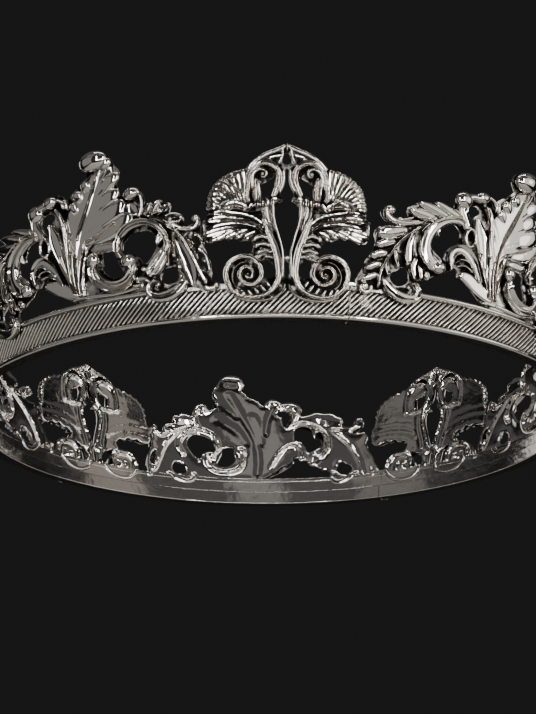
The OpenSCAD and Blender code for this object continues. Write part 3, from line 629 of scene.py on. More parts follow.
LEAF_STRAPS = (
    # lobes of the tall leaf rise out of its blade towards the margin, and its midrib
    ("swell", 2.2, 1, (5, 21.4, 1, .5), (7.6, 22, 1.5, .95), (10.8, 23.2, 2, 1.1),
     (13.6, 24.9, 2, 1), (15.4, 25.4, 1.2, .7)),
    ("swell", 2.4, 1.15, (6, 25, 1.4, .5), (8.2, 26, 2.1, .95), (10.6, 27.2, 2.4, 1.2),
     (12.9, 28.4, 2.1, 1.1), (14, 28.6, 1.2, .8)),
    ("swell", 2, 1.05, (6.8, 28.6, 1.2, .5), (8.6, 29.8, 1.8, .95), (10.6, 31.1, 1.9, 1.15),
     (12.4, 32.2, 1.3, .8)),
    ("swell", 1.8, 1.2, (8, 32, 1.1, .5), (9.4, 33.4, 1.6, 1), (11, 34.9, 1.7, 1.25),
     (12.6, 36.1, 1.1, .8)),
    ("swell", 1.4, 1.4, (2.2, 28.2, .7, .9), (1.5, 29.8, 1.2, 1.4), (.6, 31.2, 1.15, 1.6)),
    ("swell", 1.4, 1.5, (3.7, 30.8, .7, .9), (2.8, 32.3, 1.3, 1.5), (1.8, 33.6, 1.2, 1.7)),
    ("swell", 1.5, 1.6, (5.6, 32.8, .8, .9), (5, 34.2, 1.4, 1.6), (4.2, 35.6, 1.25, 1.8)),
    ("round", .25, 1.5, (6.6, 22.5), (9, 23.7), (11.4, 24.9, .2)),
    ("fluted", .4, 1.5, (1.2, 9.6), (.7, 13), (.7, 17), (1.1, 20), (2, 23.5), (3.1, 26),
     (4.4, 28.5), (5.8, 31.4), (7.2, 34.4), (8.2, 36.6, .2)),
    # leaflets and hooks left of the tall leaf
    ("blade", 1.4, 1.3, (-1.4, 13, .5), (-2.6, 17, 1), (-3.6, 21, 1.6), (-4.5, 24.6, 1.6),
     (-5.5, 27.8, .7)),
    ("round", .6, 1.8, (-1.2, 19), (-1.4, 23), (-1.6, 26.4), (-2.2, 29), (-3.4, 31)),
    ("round", .45, 2, (-.9, 30.2), (-1.1, 31.6), (-2, 32.6), (-3.4, 33.2)),
    ("round", .5, 1.7, (-.3, 30), (-.2, 31.4), (-.8, 32.6, .4)),
    ("blade", 1.3, 1.5, (-7.4, 24.2, 1), (-8.6, 26.4, 1.3), (-9.6, 28.6, 1.3), (-9.4, 30.8, 1.2)),
    ("round", .9, 1.7, (-9.3, 31.2), (-7.9, 32.1), (-6.3, 32.4), (-5, 32)),
    ("round", .45, 1.9, (-6.2, 21), (-7.6, 20.5), (-8.4, 21.8), (-8.3, 23.6), (-7.3, 24.7),
     (-6.2, 24), (-5.8, 22.4), (-6.2, 21)),
    ("blade", 1.3, 1.6, (-3.2, 12.6, .4), (-4.8, 15.6, .9), (-6.4, 18, 1.3), (-8.4, 19.4, 1.4),
     (-10.2, 19.2, 1.2), (-11.4, 17.8, .9), (-11.6, 16, .6), (-11.3, 14.2, .2)),
    ("round", .5, 1.5, (-5, 15.4), (-7, 17), (-9, 17.2), (-10.4, 16.2, .25)),
    ("round", .45, 1.3, (-5.4, 14.8), (-7.6, 15.9), (-9.8, 15.6, .25)),
    ("lobe", 1.6, 1, (1, 9.3, .5), (-1.6, 10.4, 1.3), (-4.2, 11.9, 1.6), (-6.6, 13.2, 1.4),
     (-8.9, 13.9, .7)),
    # strands at the foot of the tall leaf
    ("round", .35, 1.6, (-.3, 9.6), (-1.2, 12), (-2.2, 15), (-3.2, 18), (-3.6, 20, .2)),
    ("round", .35, 1.6, (.2, 9.4), (-.6, 12), (-1, 15), (-1.2, 18), (-1.1, 21.5), (-.6, 25, .2)),
    ("round", .35, 1.6, (.7, 9.3), (.2, 12.5), (0, 16), (.3, 19, .2)),
    ("round", .3, 1.9, (1.6, 9.4), (1.4, 12), (1.9, 15), (2.6, 17.8), (3.4, 20), (4, 21.5),
     (6.5, 22.2), (9, 23.4), (11.2, 24.7, .2)),
    # two C-scrolls right of the tall leaf
    ("fluted", 1.3, 2, (5, 15.6, .9), (5.1, 13.6, 1.3), (6.4, 11.6, 1.4), (8.6, 10.2),
     (11.2, 9.8, 1.4), (13.4, 10.6), (14.8, 12.4, 1.2), (15.3, 14.4, 1), (14.6, 15.8, .8)),
    ("fluted", .9, 1.7, (12.2, 16.2, .7), (11.5, 18.2), (12, 20.6, .9), (13.6, 22.6),
     (16, 23.6, 1), (18.6, 23.5), (21, 22.4), (22.6, 20.4, .9), (23.2, 18), (22.6, 16, .6)),
    ("veined", 1.5, 1.2, (23.6, 18.6, .6), (22.4, 16.2, 1.4), (20.8, 14, 1.8), (19.2, 12, 1.6),
     (18.6, 10.8, .8)),
    ("petal", .9, .8, (21.6, 21.6, .4), (21.4, 19.8, .9), (20.6, 18, .4)),
    ("blade", .9, .5, (5.4, 19.6), (8, 19.6), (10.8, 19.3)),
    ("blade", 1.6, .8, (11, 22.5, .9), (13, 24.4, 1.6), (14.4, 25.6, 1)),
    # hook and frond on the right
    ("round", .45, 2, (17.2, 24.6), (17.9, 26.6), (18, 28.8), (17.5, 30.4), (16.4, 31.4)),
    ("blade", 1.2, .8, (16.6, 25.6, .7), (15.4, 27.2, 1.4), (14.9, 28.6, .7)),
    ("petal", 1, 1.4, (18.2, 25, .5), (19.4, 26.8, 1), (19.8, 28, .6)),
    ("petal", 1, 1.4, (19.6, 25, .5), (21, 26.8, 1), (21.8, 28.2, .5)),
    ("petal", 1, 1.4, (21, 24.8, .5), (22.6, 26, 1), (24, 26.9, .5)),
    ("round", .5, 1.9, (19.8, 25), (21.6, 25.5), (22.6, 25.3)),
    ("round", .35, 1.7, (22.8, 24.2), (24.6, 24.7), (26.4, 24), (26.2, 22.9), (24.4, 22.7),
     (23.2, 23)),
    ("round", .6, 1.6, (22.8, 22.8, .8), (25, 21.7), (27.2, 20.9, .6), (29.2, 21), (30, 22.2, .5),
     (29.6, 23.4, .4)),
    # fern down the right side to the foot
    ("fluted", .55, 2.2, (19, 24.4), (21.6, 23.6), (24.2, 21.6), (26.4, 19), (28, 16), (29.3, 13),
     (30.4, 10.4), (31.4, 8.4)),
    ("blade", 1.6, 1, (24.2, 21, .3), (25.6, 17.5, 1.4), (26.8, 14, 1.9), (27.8, 10.6, 1.7),
     (28.4, 8, .9)),
    ("petal", .5, 1.3, (24.6, 18.5), (24.4, 16.6), (24.6, 14.6)),
    ("petal", .5, 1.3, (25.6, 14.6), (25.4, 13), (26, 12)),
    ("petal", .5, 1.3, (26, 11), (26.6, 9.5), (27.2, 8.6)),
    ("petal", .8, 1.2, (22.8, 16.5), (23.2, 14.4), (23, 12.6, .4)),
    ("petal", .8, 1.3, (26.8, 18.9, .5), (28.2, 17.6, .9), (29, 15, .3)),
    ("petal", .7, 1.3, (29, 19.8, .4), (30.4, 18.8, .7), (31, 16.8, .3)),
    ("round", .35, 1.4, (29.8, 16.2), (31.2, 15), (31.9, 13), (32.3, 10.8)),
    ("petal", .45, 1.3, (30.4, 12), (31.4, 10.9)), ("petal", .45, 1.3, (30.6, 14), (31.6, 13)),
    ("round", .7, 1.4, (30.6, 7.4), (32, 6.9), (33.6, 7.2)),
    ("crescent", 1, 2, (27.2, 9.4, .6), (25.6, 7.5, 1.1), (23.4, 6.2, 1.25), (21, 5.8, 1.15),
     (19.2, 6.3, .95), (18.3, 7.6, .8), (18.6, 9, .7), (19.8, 9.6, .55), (20.7, 8.9, .45),
     (20.3, 7.9, .3)),
    # big C-scroll on the left with its blade, spurs and frond
    ("crescent", 1, 2, (-8.9, 25.2, .6), (-10.4, 25.9, .8), (-12.6, 25.7, 1), (-14.9, 24.6, 1.15),
     (-16.8, 22.8, 1.3), (-18.1, 20.4, 1.4), (-18.3, 18, 1.55), (-17.5, 15.9, 1.7),
     (-16, 14.7, 1.65), (-14.6, 14.5, 1.4)),
    ("blade", 1.3, 1, (-17.6, 19.5, .8), (-17, 17.3, 1.3), (-15.4, 15.8, 1.5),
     (-13.8, 14.8, 1.2)),
    ("petal", .5, 1.4, (-14.6, 24.9, .6), (-15.4, 23.2, .5), (-15.1, 21.1, .15)),
    ("petal", .5, 1.8, (-17.2, 24, .6), (-18.6, 22.8, .4), (-19.8, 21.4, .1)),
    ("swell", 1, 1.7, (-15.8, 25, .7), (-18, 25.6, 1.3), (-20.6, 26.1, 1.3), (-22.6, 26.5, .5)),
    ("swell", 1, 2.1, (-13.4, 26, .7), (-16, 26.9, 1.35), (-18.6, 27.8, 1.2),
     (-20.6, 28.4, .35)),
    ("swell", 1, 1.8, (-10.4, 26.6, .7), (-12.8, 27.5, 1.25), (-15, 28.5, 1), (-16.6, 29.2, .35)),
    ("petal", .7, 1.6, (-9.4, 26.6, .4), (-10.6, 27.4, .7), (-12, 28.4, .3)),
    ("round", .3, 1.9, (-9, 26.2), (-12, 27), (-15, 26.4), (-18, 24.8), (-20, 23.6)),
    ("round", .8, 1.9, (-19.6, 23.9, .5), (-22, 23.4, .8), (-24.6, 23.2, .9), (-26.8, 23.9),
     (-27.6, 25.1), (-27, 26.2, .6)),
    ("round", .35, 1.9, (-21.4, 24.8), (-23.5, 24), (-25.2, 24.2)),
    # fern down the left side to the foot
    ("round", .42, 2.4, (-19.8, 22.9), (-22.4, 20.7), (-24.8, 18.2), (-26.6, 15.4), (-28, 12.8),
     (-28.8, 10.4), (-29, 7.8)),
    ("swell", 1.7, 2, (-22.6, 21.7, .8), (-24.8, 21, 1.6), (-27.4, 20.4, 1.8),
     (-29.6, 20.2, 1.1)),
    ("swell", 1.1, 1.8, (-25.2, 18.6, .6), (-27.4, 18.1, 1.1), (-29.8, 17.4, .9)),
    ("swell", 1.1, 1.8, (-26.8, 15.8, .6), (-28.8, 15.4, 1.1), (-30.9, 14.6, .8)),
    ("swell", 1, 1.8, (-28, 13.1, .6), (-30, 12.6, 1), (-31.9, 11.8, .7)),
    ("swell", .9, 1.7, (-28.7, 10.7, .6), (-30.6, 10, .9), (-32.6, 9.2, .6)),
    ("petal", .8, 1.6, (-21, 21.8, .4), (-22.2, 18.5, .8), (-22.3, 15.5, .9), (-22, 13.6, .5)),
    ("petal", .7, 1.5, (-25.2, 17.3, .4), (-25, 15, .7), (-24.2, 12.6, .3)),
    ("petal", .8, 1.5, (-27, 14.4, .4), (-26.9, 12.4, .8), (-26.5, 10.6, .4)),
    ("petal", .6, 1.4, (-28.7, 11, .3), (-28.6, 9, .6), (-28.8, 7.6, .15)),
    ("petal", .7, 1.4, (-20.2, 15.8, .6), (-21, 13.2, .7), (-20.2, 10.4, .3)),
    ("petal", .5, 1.4, (-19.6, 14), (-19, 12), (-18.8, 10.8)),
    ("petal", .8, 1.2, (-17.6, 13), (-17.2, 11.8), (-17, 11)),
    ("blade", .6, .4, (-20.6, 20.5), (-20.6, 18), (-20.2, 15.8)),
    ("crescent", 1, 2, (-28, 10, .5), (-26.8, 8.3, .9), (-24.8, 6.8, 1.2), (-22.4, 6, 1.3),
     (-20.4, 6.3, 1.05), (-19.5, 7.6, .75), (-19.9, 9.1, .5), (-21, 9.6, .3)),
    ("petal", .4, 1.2, (-21.8, 9.3), (-21.4, 7.8)),
    ("round", .45, 1.6, (-33, 8.2), (-32.6, 6.9), (-31.6, 6.4), (-30.6, 6.9), (-30.3, 8.2)),
    # foot of the tall leaf along the upper rail
    ("blade", .4, 1, (-1.5, 8.6), (.5, 8.8), (2.8, 8.7)),
    ("round", .5, .6, (2.5, 8.9), (6, 8.6), (10, 8.4), (14, 8.8), (17, 9.4)),
    ("blade", .8, 1.5, (15.2, 10.4), (16.8, 10.4), (18.4, 10)),
    ("blade", .5, .9, (14.2, 9.2), (16.8, 9.2)),
    ("round", .3, 1.2, (16.2, 14.6), (15.9, 12.6)),
)
# Balls: u, v, w, then radii along u, v and w, and a turn in degrees
SHELL_HALF_BALLS = (
    (8.4, 9.7, .8, .35, .35, .7, 0), (5.1, 32.4, .9, .5, .5, .9, 0),
    (12.9, 24.9, .8, .7, .5, 1, 0))
LEAF_BALLS = (
    (7.4, 39.7, 1.3, 3.3, 2.4, 1.9, 8), (10, 38.8, .8, 1.3, 1.5, 1.1, -30),
    (-4.6, 32.7, .9, 1.9, 1.4, 1.5, 10), (-9.2, 31.2, .7, 2.1, 2, 1.6, 0),
    (5.2, 17, .8, 1.5, 1.7, 1.5, 0), (13.9, 15.2, .9, 1.7, 1.6, 1.6, 0),
    (15.6, 30.6, .8, 1.9, 1.5, 1.6, 15),
    (29.6, 23.1, .8, .9, .9, 1.1, 0), (33.6, 7.6, .7, .7, .7, 1, 0),
    (31.3, 8.4, .9, .5, .5, .8, 0),
    (-14.6, 14.3, .9, 1.8, 1.5, 1.6, 0), (-27, 25.8, .9, 1.4, 1.1, 1.3, 20),
    (-31.7, 7.9, .5, .9, 1, .8, 0), (-32, 9.2, .3, .9, .9, .9, 0), (17.4, 12.8, .7, .7, .7, .9, 0))
# Soft ridges on the backs of the crests: half width, height, rows of u, v and width, height
SHELL_BACK_RIDGES = (
    (.55, .75, (2.1, 13.4), (1.8, 11.4), (1.75, 9.4), (2.2, 7.5), (3.4, 5.8), (5.4, 4.7),
     (7.8, 4.4), (10.2, 4.9), (12, 6.3), (13, 8.3), (13.1, 10.4), (12.2, 12.3), (10.5, 13.4),
     (8.6, 13.6), (6.9, 12.8), (5.8, 11.2), (5.5, 9.4), (6.2, 7.9), (7.7, 7.2),
     (9.3, 7.6), (10.2, 8.9), (10, 10.4)),
    (.45, .5, (2.9, 25.6), (2.9, 23.5), (2.6, 21.5), (2.1, 19.5), (1.4, 17), (1.1, 14.8),
     (1.1, 12.5)),
    (.6, .4, (4.6, 24.6), (4.6, 21.5), (4, 18.6), (3.2, 15.6), (2.8, 13)),
    (1.2, .22, (4.6, 18.6), (7.4, 20), (10.4, 20.7), (13.6, 20.8), (16.8, 20.2)),
    (1.3, .18, (5, 20.6), (8, 22.4), (11.2, 23), (14.4, 23), (17, 22.8)),
    (3.6, .25, (9.4, 28.6), (11.4, 29.8), (13.2, 29.2), (14.6, 27.4)),
    (.6, .6, (3, 27.2), (2.3, 28.5), (1.8, 30.4), (1.8, 32.4), (2.8, 34.2), (4.6, 34.9),
     (6.4, 34.3), (7.6, 33), (8.2, 31), (8.4, 28.6), (8.2, 26.4)),
    (.5, .7, (0, 39.1), (1.5, 38.2), (3, 37.4), (4.8, 36.7), (6.4, 35.5), (7.8, 34)),
    (.4, .8, (.9, 38.2), (1.2, 36.6), (1.8, 35.2), (2.4, 34)),
    (.5, .6, (3.4, 26.3), (5, 26.2), (6.6, 26.2)),
    (1, 1, (8.2, 9.2), (8.2, 9.8)), (.6, .6, (4.4, 36.4), (4.8, 36.4)),
)
LEAF_BACK_RIDGES = (
    (.6, .9, (5.2, 16.4), (5, 13.8), (6.2, 11.6), (8.6, 10.4), (11.2, 10.2), (13.6, 11),
     (15, 12.8), (15.2, 14.8), (14.2, 16)),
    (.6, .9, (13, 16.2), (11.8, 18.2), (12.2, 20.6), (13.8, 22.4), (16, 23.3),
     (18.6, 23.2), (21, 22), (22.6, 19.8), (22.8, 17.4), (21.8, 15.6)),
    (1.1, .3, (.9, 10), (.6, 14), (.9, 18), (1.8, 21.6), (3.4, 25.4), (5.2, 29), (6.8, 32.6),
     (8.2, 35.8)),
    (1.6, .3, (4, 20), (6.4, 23.6), (9.4, 25.8), (11.4, 27.2)),
    (1.3, .22, (6.4, 28.6), (8.4, 30.4), (10.6, 32.4)), (1.8, .25, (.2, 20), (.6, 24), (1.8, 28)),
    (.55, .8, (-8.9, 25.3), (-10.8, 26), (-13, 26), (-15.4, 24.8), (-17.4, 22.8),
     (-18.6, 20.2), (-18.6, 17.4), (-17.2, 15.2), (-15, 14.6)),
    (.6, .8, (-7.8, 25), (-9.2, 27.2), (-10, 29.4), (-9.2, 31.6), (-7.4, 32), (-5.6, 31.8)),
    (.9, .35, (-1.4, 23), (-2, 27), (-3, 30.4), (-4.4, 32.4)),
    (.5, .7, (-3, 12.4), (-4.8, 15.6), (-6.8, 18.2), (-9.2, 19.2), (-11.2, 17.8),
     (-11.5, 15.4)),
    (.5, .6, (-20.4, 22.6), (-23.4, 20), (-26, 16.8), (-27.8, 13), (-28.8, 9.4)),
    (.5, .7, (-19.8, 23.6), (-22.4, 23.3), (-25, 23.3), (-27, 24.4), (-26.8, 26)),
    (.5, .6, (19.4, 24.2), (22, 23), (24.6, 20.8), (27, 17.8), (28.8, 14), (30.6, 9.8)),
    (.5, .8, (17.2, 24.6), (18, 26.8), (17.8, 29.2), (16.4, 31)),
    (.5, .6, (23, 22.4), (25.4, 21.6), (27.8, 21.2), (29.6, 22)),
    (.8, .8, (26, 8.2), (24, 6.8), (21.6, 6.2), (19.6, 7), (19, 8.6)),
    (.8, .8, (-27, 8.6), (-25, 7.2), (-22.6, 6.6), (-20.6, 7.4), (-20.4, 9.2)),
    (2, 1, (6.4, 39.8), (8.6, 40)), (1.3, .8, (-3.4, 32.7), (-3, 32.7)),
    (1.8, .9, (-9.2, 31.4), (-9.2, 31)), (1.2, .9, (5.2, 17.2), (5.2, 16.8)),
    (1.3, 1, (13.9, 15.8), (13.9, 15.4)), (1.4, .8, (15.8, 31), (15.8, 30.6)),
    (1.4, .9, (-14.8, 15), (-14.8, 14.6)), (.8, .7, (-27, 25.8), (-27, 25.4)),
    (1.6, .4, (-22, 26), (-19, 26.6), (-16, 27.6), (-13, 27.4)),
    (1.4, .4, (20, 26.6), (22, 26.6)),
)
SHELL_FOOT_STRAPS = (
    ("round", .9, .5, (2.2, 8.4, .6), (3.2, 6.4), (5.2, 5.1), (7.8, 4.7), (10.2, 5.3),
     (12, 6.8), (12.8, 8.2, .6)),
)
LEAF_FOOT_STRAPS = (
    ("round", .8, .5, (26, 8.4), (24.4, 6.8), (22, 6.2), (20, 6.6), (18.8, 8.2)),
    ("round", .8, .5, (-26.6, 8.6), (-25, 7), (-22.8, 6.2), (-20.8, 6.6), (-20, 8)),
    ("round", .7, .45, (33, 8.2), (33, 7), (31.4, 7.4)),
    ("round", .7, .45, (-32.6, 8.4), (-31.8, 7)),
)


# ---------------------------------------------------------------- from drawing to metres
# Edges that turn by more than this stay crisp, and the rest are shaded smooth
CRISP_ANGLE = np.radians(52)


def ring_place(points, middle):
    """Drawn points to metres: u turns about the ring, v climbs the lean and w stands out
    square to it, all at the current sizes. middle is in degrees from -Y towards +X."""
    sizes = bpy.context.scene.crown_sizes
    u, v, w = points.T
    band = sizes.band_height / MM
    climb = np.where(v > DRAWN_BAND_H,
                     band + (v - DRAWN_BAND_H) * sizes.crest_height / MM / DRAWN_CREST_H,
                     v * band / DRAWN_BAND_H)
    angle = np.radians(middle) + u / DRAWN_R
    radius = sizes.band_radius / MM + climb * np.sin(sizes.lean) + w * np.cos(sizes.lean)
    height = climb * np.cos(sizes.lean) - w * np.sin(sizes.lean)
    return np.stack([radius * np.sin(angle), -radius * np.cos(angle), height], -1) * MM


def make_piece(kind, k, surface, metal, middle=0.0):
    """Panel k's piece of a kind: one mesh object from a drawn surface, turned to the middle,
    shown in place of the CAD node it stands for."""
    points, quads, tris, shade = surface
    name = f"plated_{kind}_{k}"
    mesh = bpy.data.meshes.new(name)
    mesh.vertices.add(len(points))
    mesh.vertices.foreach_set("co", ring_place(points, middle).astype(np.float32).ravel())
    mesh.loops.add(quads.size + tris.size)
    mesh.loops.foreach_set("vertex_index",
                           np.concatenate([quads.ravel(), tris.ravel()]).astype(np.int32))
    mesh.polygons.add(len(quads) + len(tris))
    mesh.polygons.foreach_set("loop_start", np.concatenate([
        np.arange(len(quads)) * 4, quads.size + np.arange(len(tris)) * 3]).astype(np.int32))
    mesh.polygons.foreach_set("use_smooth", np.ones(len(quads) + len(tris), bool))
    mesh.attributes.new("recess", "FLOAT", "POINT").data.foreach_set(
        "value", shade.astype(np.float32))
    mesh.update()
    mesh.validate()
    mesh.set_sharp_from_angle(angle=CRISP_ANGLE)
    mesh.materials.append(metal)
    piece = bpy.data.objects.new(name, mesh)
    bpy.context.scene.collection.objects.link(piece)
    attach(piece, "root")
    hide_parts(f"{kind}_{k}")


# ---------------------------------------------------------------- materials
# The mix node's own numbers for its two colours and its mixed colour
MIX_A, MIX_B, MIXED = 6, 7, 2


def add_node(tree, kind, settings=None, **links):
    """Adds a node. Settings fill its properties or sockets, and links join its sockets to
    (node, output) pairs. A link's name has underscores for the socket's spaces, or is an
    underscore and the socket's number."""
    node = tree.nodes.new(kind)
    for key, value in (settings or {}).items():
        if isinstance(key, str) and hasattr(node, key):
            setattr(node, key, value)
        else:
            node.inputs[key].default_value = value
    for key, (source, output) in links.items():
        socket = int(key[1:]) if key[1:].isdigit() else key.replace("_", " ")
        tree.links.new(source.outputs[output], node.inputs[socket])
    return node


def new_material(name):
    """An empty node material, with its tree and a texture coordinate node."""
    material = bpy.data.materials.new(name)
    material.use_nodes = True
    tree = material.node_tree
    tree.nodes.clear()
    return material, tree, add_node(tree, "ShaderNodeTexCoord")


def plated_metal(name, bright, oxide_and_shade, gloss, dull, pebble, pebble_depth):
    """Plated cast metal: bright where polished, and dark where the recess attribute says, which
    paints oxide and shade together into the colour, broken up by a fine noise, over a soft pebble
    left by the mould."""
    metal, tree, place = new_material(name)
    recess = add_node(tree, "ShaderNodeAttribute", {"attribute_name": "recess"})
    # blotches about 2 mm across that break up the oxide and painted shade
    blotch = add_node(tree, "ShaderNodeTexNoise", {"Scale": 480.0, "Detail": 5.0,
                      "Roughness": 0.6}, Vector=(place, "Object"))
    spread = add_node(tree, "ShaderNodeMapRange", {"From Min": 0.3, "From Max": 0.7,
                      "To Min": 0.6, "To Max": 1.4}, Value=(blotch, "Fac"))
    raw = add_node(tree, "ShaderNodeMath", {"operation": "MULTIPLY"}, _0=(recess, "Fac"),
                   _1=(spread, "Result"))
    # how much of the dark colour shows: oxide and painted shade in the hollows
    oxide_and_shade_share = add_node(tree, "ShaderNodeMapRange", {"interpolation_type": "SMOOTHSTEP",
                    "From Min": 0.34, "From Max": 0.9}, Value=(raw, "Value"))
    hue = add_node(tree, "ShaderNodeMix", {"data_type": "RGBA", MIX_A: (*bright, 1.0),
                   MIX_B: (*oxide_and_shade, 1.0)}, Factor=(oxide_and_shade_share, "Result"))
    rough = add_node(tree, "ShaderNodeMapRange", {"To Min": gloss, "To Max": dull},
                     Value=(oxide_and_shade_share, "Result"))
    # pebble of the casting under the plating, and grain at about 0.2 mm, drawn coarse to show
    waves = add_node(tree, "ShaderNodeTexNoise", {"Scale": pebble, "Detail": 2.0,
                     "Roughness": 0.5}, Vector=(place, "Object"))
    grain = add_node(tree, "ShaderNodeTexNoise", {"Scale": 4200.0, "Detail": 2.0},
                     Vector=(place, "Object"))
    soft = add_node(tree, "ShaderNodeBump", {"Strength": 1.0, "Distance": pebble_depth},
                    Height=(waves, "Fac"))
    fine = add_node(tree, "ShaderNodeBump", {"Strength": 0.6, "Distance": 0.00001},
                    Height=(grain, "Fac"), Normal=(soft, "Normal"))
    shader = add_node(tree, "ShaderNodeBsdfPrincipled", {"Metallic": 1.0},
                      Base_Color=(hue, MIXED), Roughness=(rough, "Result"),
                      Normal=(fine, "Normal"))
    add_node(tree, "ShaderNodeOutputMaterial", Surface=(shader, "BSDF"))
    return metal


def painted_paper(rgb):
    """Seamless painted paper: a matte, even, pale colour with a faint mottle."""
    paper, tree, place = new_material("painted_paper")
    mottle = add_node(tree, "ShaderNodeTexNoise", {"Scale": 6.0, "Detail": 3.0},
                      Vector=(place, "Object"))
    ramp = add_node(tree, "ShaderNodeMix", {"data_type": "RGBA", MIX_A: (*rgb, 1.0),
                    MIX_B: (*(c * 0.94 for c in rgb), 1.0)}, Factor=(mottle, "Fac"))
    shader = add_node(tree, "ShaderNodeBsdfPrincipled", {"Roughness": 0.8},
                      Base_Color=(ramp, MIXED))
    add_node(tree, "ShaderNodeOutputMaterial", Surface=(shader, "BSDF"))
    return paper


def finish(name, look, tint=1.0, **extra):
    """The named plated metal, made once and then shared. The pebble is about 4 mm wide and
    0.12 mm deep unless a casting has its own."""
    if name in bpy.data.materials:
        return bpy.data.materials[name]
    colours = bpy.context.scene.crown_finish
    settings = {"gloss": colours.gloss_roughness, "dull": colours.recess_roughness,
                "pebble": 260.0, "pebble_depth": 0.00012, **extra}
    bright = [c * tint for c in getattr(colours, look)]
    return plated_metal(name, bright, list(colours.oxide_and_shade), **settings)


def rail_finish():
    """Plated casting, rubbed smooth: long soft bright lines, a little duller than the
    crests."""
    return finish("plated_cast_rail", "silver", tint=0.95, gloss=0.13)


# ---------------------------------------------------------------- band pieces
def panel_span(k):
    """Drawn start and end of panel k's band, from the ring's front, less half the gap."""
    gap = bpy.context.scene.crown_sizes.seam_gap / MM / 2
    whole = np.radians(PANEL_ANGLE) * DRAWN_R
    return (k - 1) * whole + DRAWN_SEAM_U + gap, k * whole + DRAWN_SEAM_U - gap


def held(profile, shades, margin=0.06, long=0.5):
    """The profile with a point added just inside both ends of every long side, so that
    smooth shading rounds the corners only and leaves the sides flat."""
    rows, tones = [], []
    for here, there, tone, next_tone in zip(profile, np.roll(profile, -1, 0), shades,
                                            np.roll(shades, -1)):
        side = np.hypot(*(there - here))
        shares = (0, margin / side, 1 - margin / side) if side > long else (0,)
        rows += [here + (there - here) * share for share in shares]
        tones += [tone + (next_tone - tone) * share for share in shares]
    return np.array(rows), np.array(tones)


def ring_section(profile, start, end, shades, step=1.2):
    """A closed profile of (w, v) carried round the ring from start to end, both ends shut."""
    profile, shades = held(np.asarray(profile, float), np.asarray(shades, float))
    u = np.linspace(start, end, int((end - start) / step) + 2)
    rings = np.empty((len(u), len(profile), 3))
    rings[..., 0] = u[:, None]
    rings[..., 1:] = profile[:, ::-1]
    return skin(rings, np.broadcast_to(shades, rings.shape[:2]))


class CROWN_OT_lower_rails(bpy.types.Operator):
    """Make the five lower rails, each a rim with a rounded lip and an inner flange"""
    bl_idname = "crown.lower_rails"
    bl_label = "Lower rails"

    def execute(self, context):
        profile, shades = self.profile(context.scene.crown_sizes)
        for k in range(1, PANELS + 1):
            start, end = panel_span(k)
            # beads of solder on the lip at the seam
            rail = [ring_section(profile, start, end, shades),
                    dome(end - .4, .5, .2, .5, .45, .32),
                    dome(end - 1.2, .3, .12, .55, .34, .25),
                    dome(start + .5, .55, .2, .5, .4, .3)]
            make_piece("lower_rail", k, joined(rail), rail_finish())
        return {"FINISHED"}

    @staticmethod
    def profile(sizes, soft=0.15, chamfer=0.3):
        """Flat underside on the rim plane, a rounded lip outside, and a flange inside. A point
        on the rim plane at distance d inside the band's radius has v = -d sin(lean) and
        w = -d cos(lean). Corners are cut by soft, and the flange's inner top by the chamfer."""
        t, h = sizes.strip_thickness / MM, sizes.lower_rail_height / MM
        wide, tall = sizes.rim_width / MM, sizes.flange_height / MM
        s, c = np.sin(sizes.lean), np.cos(sizes.lean)
        lip = [(.12, .08), (.26, .22), (.33, .42), (.33, .62), (.26, .8), (.12, h)]
        rows = [(-wide * c + soft, -wide * s + soft * s), (-soft * c, -soft * s), *lip, (-t, h),
                (-t, tall - soft), (-t - soft, tall), (-wide * c + chamfer, tall),
                (-wide * c, tall - chamfer), (-wide * c, -wide * s + soft)]
        # oxide and painted shade, darkest in the crevice where the lip meets the strip and a
        # little on the underside
        return rows, [.3, .15, .05, 0, 0, 0, .1, .5, .6, .5, .1, .1, .1, .15]


